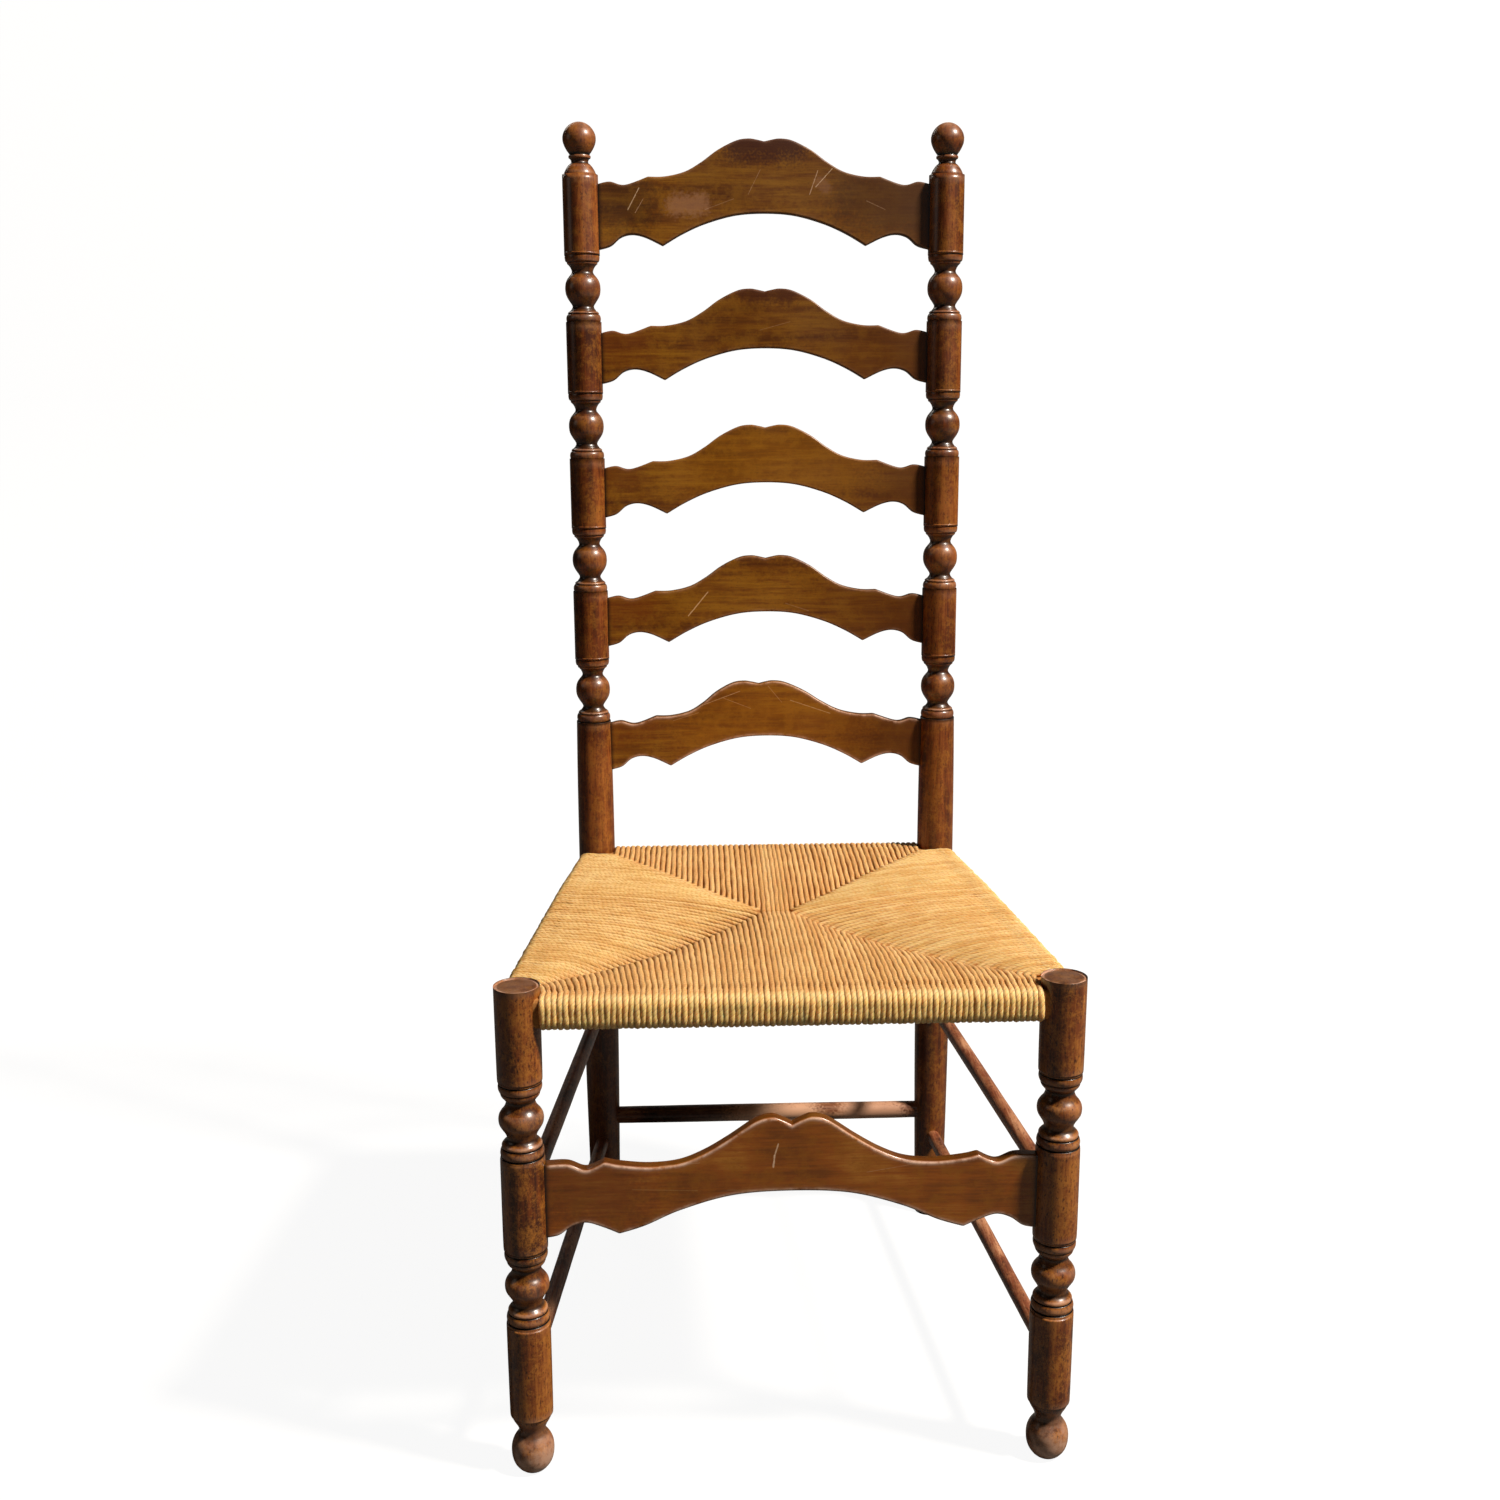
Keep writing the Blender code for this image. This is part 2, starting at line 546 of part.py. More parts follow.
def add_rail(name, start_axis, end_axis, post_radii, tenon_depths, posts):
    """Seat rail with a round tenon at each end; returns the cutter for its tunnel in the rush."""
    shoulders = member_ends(start_axis, end_axis, post_radii[0] + FIT_CLEARANCE, post_radii[1] + FIT_CLEARANCE)
    rail = rail_body(name, *shoulders, 0.0, parts)
    tips = member_ends(start_axis, end_axis, post_radii[0] - tenon_depths[0], post_radii[1] - tenon_depths[1])
    tenon = add_rod_between(name + "_tenon", *tips, RAIL_TENON_RADIUS, RAIL_TENON_SIDES, cutters)
    union = rail.modifiers.new("tenons", "BOOLEAN")
    union.operation = "UNION"
    union.solver = "EXACT"
    union.object = tenon
    margin = (end_axis - start_axis).normalized() * SOCKET_END_CLEARANCE
    socket = add_rod_between(name + "_socket", tips[0] - margin, tips[1] + margin,
                             RAIL_TENON_RADIUS + FIT_CLEARANCE, RAIL_TENON_SIDES, cutters)
    for post in posts:
        cut(post, socket)
    return rail_body(name + "_tunnel", start_axis, end_axis, FIT_CLEARANCE, cutters)


def add_rails():
    """Four seat rails; the front and rear tenons stop short of the deeper side tenons."""
    short_reach = RAIL_TENON_RADIUS + FIT_CLEARANCE + SOCKET_WALL + SOCKET_END_CLEARANCE
    front_left, front_right = front_axis(-1, RAIL_HEIGHT), front_axis(1, RAIL_HEIGHT)
    rear_height = RAIL_HEIGHT - REAR_RAIL_DROP
    rear_left, rear_right = rear_axis(-1, rear_height), rear_axis(1, rear_height)
    front_depth = FRONT_DRUM_RADIUS - short_reach
    rear_depth = REAR_LEG_RADIUS - short_reach
    side_radii = (FRONT_DRUM_RADIUS, REAR_LEG_RADIUS)
    side_depths = (SIDE_RAIL_TENON_DEPTH, SIDE_RAIL_TENON_DEPTH)
    return [
        add_rail("seat_rail_front", front_left, front_right, (FRONT_DRUM_RADIUS, FRONT_DRUM_RADIUS),
                 (front_depth, front_depth), front_posts),
        add_rail("seat_rail_rear", rear_left, rear_right, (REAR_LEG_RADIUS, REAR_LEG_RADIUS),
                 (rear_depth, rear_depth), rear_posts),
        add_rail("seat_rail_left", front_left, rear_left, side_radii, side_depths,
                 (front_posts[0], rear_posts[0])),
        add_rail("seat_rail_right", front_right, rear_right, side_radii, side_depths,
                 (front_posts[1], rear_posts[1])),
    ]


def between(table, place):
    """Value at a place in a table of (place, value) pairs, on straight lines between them."""
    for (low, first), (high, second) in zip(table, table[1:]):
        if place <= high:
            return first + (second - first) * (place - low) / (high - low)
    return table[-1][1]


def rush_point(column, row):
    """Plan position and the upper and lower surface of the rush at a crossing of its rings.

    A strand runs from its rail down to the seam that bounds its field. Across and along are 0 at
    the crossings of the seams and 1 at the outer edge, and a seam lies where the two are equal.
    Their sum comes last: faces are split from its lowest to its highest, the way the seams run.
    """
    edge = RAIL_WIDTH / 2 + RUSH_LAYER
    slope = (FRONT_POST_SPACING - REAR_POST_SPACING) / 2 / SEAT_DEPTH
    across = max(FIELD_RINGS - column, column - FIELD_RINGS - 1) / FIELD_RINGS
    along = abs(row - FIELD_RINGS) / FIELD_RINGS
    at_front = row < FIELD_RINGS
    crossing = SEAT_DEPTH * SEAM_CROSSING_SHARE
    run = crossing + edge if at_front else SEAT_DEPTH + edge - crossing
    y = crossing + (-run if at_front else run) * along
    half_gap = SEAM_CROSSING_GAP / 2
    reach = FRONT_POST_SPACING / 2 - slope * y + edge / math.cos(math.atan(slope)) - half_gap
    x = (half_gap + reach * across) * (-1 if column <= FIELD_RINGS else 1)
    seam, strand = (along, reach) if across > along else (across, run)
    length = strand * (1.0 - seam)
    past_rail = strand * (1.0 - max(across, along)) - RAIL_WIDTH - RUSH_LAYER
    free_length = length - RAIL_WIDTH - RUSH_LAYER
    sink = (past_rail / free_length) ** FIELD_CROWN_SHARE if past_rail > 0.0 else 0.0
    half_thickness = RAIL_THICKNESS / 2 + RUSH_LAYER
    rail_line = RAIL_HEIGHT - REAR_RAIL_DROP * y / SEAT_DEPTH
    seam_drop = SEAM_DROP * between(FRONT_SEAM_SHARES if at_front else REAR_SEAM_SHARES, seam)
    growth = between(RIM_THICKNESS_SHARES, seam)
    seam_thickness = SEAM_THICKNESS + (2 * half_thickness - SEAM_THICKNESS) * growth
    seam_lift = max(2 * half_thickness - seam_drop - seam_thickness, 0.0)
    upper = rail_line + half_thickness - seam_drop * sink
    lower = rail_line - half_thickness + seam_lift * sink
    return x, front_line + y, upper, lower, across + along


def add_rush_seat(tunnels):
    """Rush wound over the four rails: four fields that slope down to the seams between them."""
    columns = 2 * FIELD_RINGS + 1
    rows = 2 * FIELD_RINGS
    mesh = bpy.data.meshes.new("rush_seat")
    shape = bmesh.new()
    bmesh.ops.create_grid(shape, x_segments=columns, y_segments=rows, size=1.0)
    extruded = bmesh.ops.extrude_face_region(shape, geom=shape.faces[:])
    upper = [item for item in extruded["geom"] if isinstance(item, bmesh.types.BMVert)]
    bmesh.ops.translate(shape, vec=(0.0, 0.0, 1.0), verts=upper)
    bmesh.ops.recalc_face_normals(shape, faces=shape.faces)
    places = {}
    for vertex in shape.verts:
        column = round((vertex.co.x + 1.0) / 2 * columns)
        row = round((vertex.co.y + 1.0) / 2 * rows)
        places[vertex] = rush_point(column, row)
    inside = [f for f in shape.faces if all(max(abs(v.co.x), abs(v.co.y)) < 1.0 for v in f.verts)]
    for face in inside:
        inner = min(face.verts, key=lambda v: places[v][4])
        outer = max(face.verts, key=lambda v: places[v][4])
        if not shape.edges.get((inner, outer)):
            bmesh.utils.face_split(face, inner, outer)
    for vertex, (x, y, top, bottom, spread) in places.items():
        vertex.co = (x, y, top if vertex.co.z > 0.0 else bottom)
    shape.to_mesh(mesh)
    shape.free()
    seat = add_object("rush_seat", mesh, parts, rush_straw)
    rounding = seat.modifiers.new("rounded_rim", "BEVEL")
    rounding.width = RUSH_ROUNDING
    rounding.segments = RUSH_ROUNDING_STEPS
    rounding.limit_method = "ANGLE"
    rounding.angle_limit = RUSH_RIM_ANGLE
    rounding.use_clamp_overlap = True
    for tunnel in tunnels:
        cut(seat, tunnel)
    for side in (-1, 1):
        notch_corner(seat, side, front_axis(side, RAIL_HEIGHT), FRONT_DRUM_RADIUS, -1)
        notch_corner(seat, side, rear_axis(side, RAIL_HEIGHT), REAR_LEG_RADIUS, 1)


def notch_corner(seat, side, axis, post_radius, outward):
    """Square notch in the rush where a post stands; outward is -1 at the front and 1 at the back."""
    inner = post_radius + FIT_CLEARANCE
    outer = RAIL_WIDTH + RUSH_LAYER + CUT_OVERRUN
    size = (inner + outer, inner + outer, RAIL_THICKNESS + 2 * RUSH_LAYER + 2 * CUT_OVERRUN)
    shift = (outer - inner) / 2
    location = axis + Vector((side * shift, outward * shift, 0.0))
    name = "rush_notch_%s_%s" % ("front" if outward < 0 else "rear", "left" if side < 0 else "right")
    cut(seat, add_box(name, size, location, cutters))


def add_posts():
    """Front posts upright, rear posts along their raked and splayed axes."""
    for side, side_name in ((-1, "left"), (1, "right")):
        front = turned("front_post_" + side_name, front_profile(), post_wood)
        front.location = front_axis(side, 0.0)
        front_posts.append(front)
        rear = turned("rear_post_" + side_name, rear_profile(), post_wood)
        foot = rear_axis(side, 0.0)
        rear.location = foot
        axis = rear_axis(side, REAR_POST_HEIGHT) - foot
        rear.rotation_euler = axis.to_track_quat("Z", "X").to_euler()
        rear_posts.append(rear)
        floor_size = 4 * REAR_LEG_RADIUS
        floor = add_box("floor_cut_" + side_name, (floor_size, floor_size, floor_size),
                        foot - Vector((0.0, 0.0, floor_size / 2)), cutters)
        cut(rear, floor)


clear_scene()
parts = new_collection("ladder_back_chair")
cutters = new_collection("cutters")
post_wood = finish("stained_turned_post", POST_BROWN, WOOD_ROUGHNESS)
slat_wood = finish("stained_slat", SLAT_BROWN, WOOD_ROUGHNESS)
board_wood = finish("stained_board", BOARD_BROWN, WOOD_ROUGHNESS)
rod_wood = finish("stained_stretcher", ROD_BROWN, WOOD_ROUGHNESS)
rail_wood = finish("raw_rail", RAIL_BEECH, RAW_WOOD_ROUGHNESS)
rush_straw = finish("rush", RUSH_STRAW, RUSH_ROUGHNESS)
front_posts = []
rear_posts = []
front_line = frame_front_line()
add_posts()
add_slats()
add_front_board()
add_stretchers()
add_rush_seat(add_rails())
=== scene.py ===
# %% [markdown]
# # A ladder back chair with a rush seat
#
# The real chair is a country chair: four turned posts, five shaped slats up the back like the
# rungs of a ladder, a shaped board below the seat, plain round stretchers, and a seat of twisted
# rush wound over four rails. Its wood is stained a warm brown and worn along the edges.
#
# The CAD model already holds every piece at its true place. This script loads it as a fixed frame
# and dresses it: finer turnings and boards where the eye rests, a seat made strand by strand, and
# a finish for each wood that follows its grain.

# %% Load the frame
import math

import bmesh
import bpy
from mathutils import Matrix, Vector, noise


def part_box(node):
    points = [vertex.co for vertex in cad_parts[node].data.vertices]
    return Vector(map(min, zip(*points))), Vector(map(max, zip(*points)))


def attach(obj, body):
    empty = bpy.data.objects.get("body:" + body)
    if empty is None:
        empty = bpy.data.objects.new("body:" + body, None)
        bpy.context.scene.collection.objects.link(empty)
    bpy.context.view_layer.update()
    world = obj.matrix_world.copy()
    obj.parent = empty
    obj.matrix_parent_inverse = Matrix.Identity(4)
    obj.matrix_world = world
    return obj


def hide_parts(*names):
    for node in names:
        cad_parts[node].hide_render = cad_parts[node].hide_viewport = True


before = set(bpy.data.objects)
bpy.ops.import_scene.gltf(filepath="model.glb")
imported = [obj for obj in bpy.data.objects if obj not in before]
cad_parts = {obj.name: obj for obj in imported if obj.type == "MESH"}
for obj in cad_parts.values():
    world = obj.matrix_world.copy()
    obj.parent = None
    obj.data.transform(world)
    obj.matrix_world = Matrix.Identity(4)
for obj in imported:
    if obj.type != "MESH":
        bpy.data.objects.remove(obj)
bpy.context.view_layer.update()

BODY = "root"
MM = 0.001

# %% [markdown]
# ## The camera
#
# The photograph looks slightly down at the chair from the front left. A camera can be placed by
# eye, but matching known points of the chair gives its place, lens and three turning angles, so
# those numbers are written down here and the camera's axes are built from them.

# %% Camera
PHOTO_WIDTH = 1500
FOCAL_PIXELS = 1600
SENSOR_WIDTH = 36.0
CAMERA_PLACE = Vector((-0.0734, -1.4129, 0.8597))
CAMERA_YAW = 0.0348
CAMERA_PITCH = 0.2087
CAMERA_ROLL = -0.0045


def camera_axes():
    """The camera's right, up and forward directions."""
    forward = Vector((math.sin(CAMERA_YAW) * math.cos(CAMERA_PITCH),
                      math.cos(CAMERA_YAW) * math.cos(CAMERA_PITCH), -math.sin(CAMERA_PITCH)))
    level = Vector((math.cos(CAMERA_YAW), -math.sin(CAMERA_YAW), 0.0))
    above = level.cross(forward)
    right = level * math.cos(CAMERA_ROLL) + above * math.sin(CAMERA_ROLL)
    up = above * math.cos(CAMERA_ROLL) - level * math.sin(CAMERA_ROLL)
    return right, up, forward


def link(item):
    bpy.context.scene.collection.objects.link(item)
    return item


camera = link(bpy.data.objects.new("camera", bpy.data.cameras.new("camera")))
camera.data.sensor_width = SENSOR_WIDTH
camera.data.lens = SENSOR_WIDTH * FOCAL_PIXELS / PHOTO_WIDTH
right, up, forward = camera_axes()
camera.matrix_world = Matrix.Translation(CAMERA_PLACE) @ Matrix((right, up, -forward)).transposed().to_4x4()
bpy.context.scene.camera = camera
print("lens in mm:", round(camera.data.lens, 1))

# %% [markdown]
# ## Floor
#
# A studio sweep is one pale surface that rolls up behind the object. It could be a plane alone,
# but the curve hides the horizon in the low side views. It glows for the camera only, so it looks
# white and doesn't light the chair from below.

# %% Floor
FLOOR_HALF = 3.2
SWEEP_RADIUS = 0.9
SWEEP_HEIGHT = 3.4
SWEEP_STEPS = 16
FLOOR_GLOW = 0.93


def linear(hex_colour):
    """sRGB hex to the linear colour that a shader works in."""
    channels = [int(hex_colour[i:i + 2], 16) / 255 for i in (0, 2, 4)]
    return [c / 12.92 if c <= 0.04045 else ((c + 0.055) / 1.055) ** 2.4 for c in channels] + [1.0]


def new_mesh(name, verts, faces, **marks):
    """A smooth mesh object at the origin with its normals outwards and marks kept on its points."""
    mesh = bpy.data.meshes.new(name)
    mesh.from_pydata(verts, [], faces)
    shape = bmesh.new()
    shape.from_mesh(mesh)
    bmesh.ops.recalc_face_normals(shape, faces=shape.faces)
    shape.to_mesh(mesh)
    shape.free()
    mesh.shade_smooth()
    for label, values in marks.items():
        mesh.attributes.new(label, "FLOAT", "POINT").data.foreach_set("value", values)
    return link(bpy.data.objects.new(name, mesh))


def feed(item, inputs):
    """Sets a node's inputs, by name or in order, to values, hex colours or links.

    A node given as an input is linked by its first output that is in use.
    """
    for key, value in inputs.items() if isinstance(inputs, dict) else enumerate(inputs):
        socket = item.inputs[key]
        if isinstance(value, bpy.types.Node):
            value = next(output for output in value.outputs if output.enabled)
        if isinstance(value, bpy.types.NodeSocket):
            item.id_data.links.new(value, socket)
        else:
            socket.default_value = linear(value) if socket.type == "RGBA" else value


def put(tree, kind, inputs=(), stops=(), **settings):
    """Adds one node with its settings, its inputs and, on a colour ramp, its (place, hex) stops.

    Shader and maths nodes are named without the ShaderNode that their full kind starts with.
    """
    item = tree.nodes.new(kind if "Node" in kind else "ShaderNode" + kind)
    for key, value in settings.items():
        setattr(item, key, value)
    feed(item, inputs)
    for number, (place, colour) in enumerate(stops):
        ramp = item.color_ramp.elements
        stop = ramp[0] if number == 0 else ramp[-1] if number == len(stops) - 1 else ramp.new(place)
        stop.position = place
        stop.color = linear(colour)
    return item


def new_material(name):
    material = bpy.data.materials.new(name)
    material.use_nodes = True
    return material, material.node_tree, material.node_tree.nodes["Principled BSDF"]


def sweep_profile():
    """Distance back and height along the middle of the sweep."""
    start = FLOOR_HALF - SWEEP_RADIUS
    turns = [math.pi / 2 * step / SWEEP_STEPS for step in range(1, SWEEP_STEPS + 1)]
    bend = [(start + SWEEP_RADIUS * math.sin(a), SWEEP_RADIUS * (1 - math.cos(a))) for a in turns]
    return [(-FLOOR_HALF, 0.0), (start, 0.0)] + bend + [(FLOOR_HALF, SWEEP_HEIGHT)]


profile = sweep_profile()
verts = [(side * FLOOR_HALF, back, height) for side in (-1, 1) for back, height in profile]
count = len(profile)
floor = new_mesh("floor", verts, [(i, i + 1, i + 1 + count, i + count) for i in range(count - 1)])
# Matt paper: no gloss and no pattern, so the eye sees only the chair's soft shade on it.
paper, tree, shader = new_material("pale_paper")
seen = put(tree, "LightPath").outputs["Is Camera Ray"]
glow = put(tree, "MapRange", {"Value": seen, "To Min": 0.0, "To Max": FLOOR_GLOW})
feed(shader, {"Base Color": "565553", "Roughness": 0.9, "Emission Color": "FFFFFF",
              "Emission Strength": glow})
floor.data.materials.append(paper)
print("floor points:", len(verts))

# %% [markdown]
# ## Light
#
# One small strong lamp, high at the right, gives the photograph's hard side light, with the dark
# band that each right post throws on the slats. A large lamp would wash that band out. Two weak
# lamps lift the shade in front and at the left, and a broad one behind lets the back read as wood.

# %% Lamps
CHAIR_MIDDLE = Vector((0.0, 0.0, 0.55))
ROOM_LIGHT = 0.006
ROOM_WHITE = 1.0
# Azimuth (0 is the front, 90 the right), elevation, distance, size, watts and colour.
LAMPS = {"window_lamp": (67, 49, 6.0, 0.6, 740, "FFF6EA"), "camera_lamp": (20, 30, 3.2, 0.8, 3, "FFFFFF"),
         "left_fill": (-80, 22, 3.4, 1.2, 3.5, "FFF2E4"), "back_fill": (195, 22, 4.2, 3.0, 105, "FFF6EA")}

for name, (azimuth, elevation, distance, size, watts, colour) in LAMPS.items():
    turn, lift = math.radians(azimuth), math.radians(elevation)
    away = Vector((math.sin(turn) * math.cos(lift), -math.cos(turn) * math.cos(lift), math.sin(lift)))
    lamp = link(bpy.data.objects.new(name, bpy.data.lights.new(name, "AREA")))
    lamp.data.size = size
    lamp.data.energy = watts
    lamp.data.color = linear(colour)[:3]
    lamp.location = CHAIR_MIDDLE + away * distance
    lamp.rotation_euler = away.to_track_quat("Z", "Y").to_euler()
world = bpy.data.worlds.new("white_room")
bpy.context.scene.world = world
world.use_nodes = True
room = world.node_tree
seen = put(room, "LightPath").outputs["Is Camera Ray"]
strength = put(room, "MapRange", {"Value": seen, "To Min": ROOM_LIGHT, "To Max": ROOM_WHITE})
feed(room.nodes["Background"], {"Color": "FFFFFF", "Strength": strength})
bpy.context.scene.view_settings.view_transform = "Standard"
print("lamps:", list(LAMPS))

# %% [markdown]
# ## Sizes shared with the CAD
#
# The dressed pieces lie exactly where the solids are, so the sizes that place them are the ones
# the CAD model was made from: the distance between the posts, the rake of the back and the heights
# of the beads turned on the posts.

# %% Frame sizes
FRONT_SPACING = 430 * MM
REAR_SPACING = 355 * MM
SEAT_DEPTH = 434.5 * MM
BACK_RAKE = math.radians(1.5)
BACK_SPLAY = math.radians(0.12)
RAIL_HEIGHT = 403 * MM
FRONT_TOP = 423.5 * MM
REAR_TOP = 1133.6 * MM
REAR_BEADS = [977.7 * MM, 845.4 * MM, 713.1 * MM, 580.8 * MM]
FRONT_BEADS = [312.1 * MM, 167.6 * MM]
front_low, front_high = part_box("front_post_left")
FRONT_LINE = (front_low.y + front_high.y) / 2


def front_axis(side, height):
    return Vector((side * FRONT_SPACING / 2, FRONT_LINE, height))


def rear_axis(side, height):
    """A rear post leans back and a little outwards above the seat, and forwards below it."""
    above = height - RAIL_HEIGHT
    half = REAR_SPACING / 2 + math.tan(BACK_SPLAY) * above
    return Vector((side * half, FRONT_LINE + SEAT_DEPTH + math.tan(BACK_RAKE) * above, height))


print("front posts' axis at y mm:", round(FRONT_LINE / MM, 2))

# %% [markdown]
# ## Turned posts
#
# A turner cuts beads, coves and thin grooves into a spinning square of wood. The cuts are written
# down as groups of heights and radii: one group for each bead with its rings, then the finial, the
# foot and the plain leg. The same group is set at each bead's height, as a turner repeats a cut.

# %% Outlines of the turnings
# Height from the bead's middle and radius in mm; a third value marks a sharp corner.
REAR_GROUP = [
    (36.6, 17.4), (34.6, 17.4), (34.0, 17.1, 1), (33.6, 16.1), (33.2, 16.5, 1), (32.0, 16.9),
    (29.4, 17.1), (26.6, 16.6), (25.6, 15.9, 1), (25.1, 15.0), (24.7, 15.0, 1), (23.4, 14.6),
    (22.4, 13.4), (20.6, 12.0), (18.6, 11.0), (16.4, 10.4), (14.4, 11.0), (12.2, 12.8), (9.0, 15.2),
    (5.0, 16.8), (0.0, 17.3), (-5.0, 16.7), (-9.0, 15.0), (-12.4, 12.8), (-15.2, 11.0), (-17.0, 10.5),
    (-18.8, 11.2), (-20.5, 12.5, 1), (-21.0, 12.7), (-21.4, 13.7, 1), (-22.6, 15.1), (-23.5, 15.3),
    (-24.0, 14.8), (-24.5, 15.6, 1), (-26.0, 16.6), (-28.5, 17.0), (-31.0, 16.6), (-32.1, 16.2, 1),
    (-32.6, 15.5), (-33.1, 16.6, 1), (-34.2, 17.4), (-36.0, 17.5)]
FRONT_GROUP = [
    (40.0, 18.0), (33.0, 17.6), (31.3, 17.4, 1), (30.8, 16.2), (30.3, 17.1, 1), (28.6, 17.5),
    (26.2, 17.4), (24.2, 16.7, 1), (23.7, 15.6, 1), (22.6, 15.9), (20.4, 15.3), (18.2, 13.6),
    (16.2, 12.0, 1), (14.8, 11.6), (12.2, 12.2), (9.4, 13.6),
    (6.6, 15.9), (3.6, 17.5), (0.0, 18.0), (-3.6, 17.5), (-6.6, 16.0), (-9.4, 14.2), (-12.4, 12.6),
    (-15.2, 11.9), (-17.4, 12.8), (-19.2, 14.6), (-21.0, 16.0), (-22.7, 16.0, 1), (-23.2, 15.0),
    (-23.7, 16.2, 1), (-25.6, 17.1), (-28.0, 17.5), (-29.8, 17.2), (-30.8, 16.8, 1), (-31.2, 16.0),
    (-31.7, 17.3, 1), (-33.4, 17.7), (-42.0, 17.9)]
# Height from the floor and radius in mm, from the neck above the ball foot down.
FOOT = [
    (58.0, 17.7), (53.0, 17.3), (49.6, 16.4), (46.2, 14.9), (42.6, 12.9), (39.0, 11.4), (36.2, 11.0),
    (33.6, 11.8), (30.8, 13.8), (27.2, 15.9), (22.6, 17.3), (17.6, 17.6), (12.4, 17.1), (7.6, 15.6),
    (3.6, 13.0), (1.0, 10.4), (0.0, 8.6, 1), (0.0, 0.0, 1)]
# Depth below the finial's top and radius in mm.
FINIAL = [
    (-0.0, 0.0), (-0.5, 4.0), (-2.2, 8.0), (-5.0, 11.6), (-9.0, 14.5), (-13.0, 15.9), (-16.2, 16.1),
    (-19.6, 15.6), (-24.0, 13.8), (-27.6, 11.6), (-30.0, 9.9), (-30.8, 9.6, 1), (-31.3, 10.5, 1),
    (-32.4, 10.8), (-33.6, 10.6, 1), (-34.4, 9.4), (-36.4, 8.3), (-38.2, 8.6), (-39.2, 9.8, 1),
    (-41.0, 11.6), (-43.6, 13.4), (-46.4, 14.9), (-48.6, 15.6), (-49.8, 15.5, 1), (-50.4, 14.6),
    (-51.0, 16.2, 1), (-52.2, 17.1), (-54.0, 17.4)]
REAR_LEG = [(500.0, 18.1), (440.0, 18.5), (360.0, 18.6), (250.0, 18.2), (160.0, 17.5), (70.0, 16.2),
            (0.0, 15.0, 1), (0.0, 0.0, 1)]
# Depth below the front post's top and radius in mm.
FRONT_CAP = [(0.0, 0.0), (-0.2, 8.0), (-1.1, 15.0), (-1.9, 17.3, 1), (-2.9, 18.1, 1), (-6.0, 18.2)]


def placed(group, height):
    return [(height + point[0] * MM, point[1] * MM, len(point) > 2) for point in group]


rear_outline = placed(FINIAL, REAR_TOP) + [p for z in REAR_BEADS for p in placed(REAR_GROUP, z)]
rear_outline += placed(REAR_LEG, 0.0)
front_outline = placed(FRONT_CAP, FRONT_TOP) + [p for z in FRONT_BEADS for p in placed(FRONT_GROUP, z)]
front_outline += placed(FOOT, 0.0)
print("points in the rear outline:", len(rear_outline), "and the front:", len(front_outline))

# %% [markdown]
# A Screw modifier or a curve's bevel could spin the outline, but here the rings are built one by
# one, so that each ring also keeps two numbers for the finish: how hollow it is, where stain and
# dirt gather and shade is painted, and how proud it is, where hands wear the stain away and a
# highlight is painted.

# %% Spin the posts
TURN_SIDES = 56
CURVE_STEPS = 4
RING_GAP = 9 * MM
# A ring is hollow or proud against the mean radius within this distance up and down the post.
WINDOW = 3.4 * MM
WINDOW_STEPS = 5
HOLLOW_FULL = 0.9 * MM
PROUD_FULL = 0.85 * MM
POLE_FADE = 9.5 * MM
GROOVE_SPREAD = 0.3 * MM
# (hollow, proud) on the open grain of a post's top, and on the rim just below it, which is rubbed pale and
# also carries a painted highlight.
END_GRAIN = (0.5, 0.45)
RIM_WEAR_AND_HIGHLIGHT = (0.0, 2.0)
RIM_DEPTH = 2.2 * MM
FOOT_WEAR = 2.2
FOOT_WEAR_HEIGHT = 48 * MM
FRONT_RIM = FRONT_TOP - 1.2 * MM


def smooth_outline(points):
    """Curve through the points that stays straight at each marked corner."""
    dense = []
    for i in range(len(points) - 1):
        (z1, r1, corner1), (z2, r2, corner2) = points[i], points[i + 1]
        before = points[i - 1] if i and not corner1 else points[i]
        after = points[i + 2] if i + 2 < len(points) and not corner2 else points[i + 1]
        steps = max(CURVE_STEPS, math.ceil(abs(z2 - z1) / RING_GAP)) if not (corner1 and corner2) else 1
        for t in [step / steps for step in range(steps)]:
            a, b = (-t + 2 * t * t - t ** 3) / 2, (2 - 5 * t * t + 3 * t ** 3) / 2
            c, d = (t + 4 * t * t - 3 * t ** 3) / 2, (t ** 3 - t * t) / 2
            dense.append((a * before[0] + b * z1 + c * z2 + d * after[0],
                          a * before[1] + b * r1 + c * r2 + d * after[1]))
    return dense + [points[-1][:2]]


def radius_at(outline, height):
    for (z1, r1), (z2, r2) in zip(outline, outline[1:]):
        if z2 <= height <= z1:
            return max(r1, r2) if z1 == z2 else r1 + (r2 - r1) * (z1 - height) / (z1 - z2)
    return outline[0][1] if height > outline[0][0] else outline[-1][1]


def local_mean(outline, height):
    """Mean radius at even steps within the window above and below a height."""
    low, high = outline[-1][0], outline[0][0]
    steps = [WINDOW * k / WINDOW_STEPS for k in range(-WINDOW_STEPS, WINDOW_STEPS + 1)]
    return sum(radius_at(outline, min(max(height + step, low), high)) for step in steps) / len(steps)


def share_of(value, whole):
    return min(max(value / whole, 0.0), 1.0)


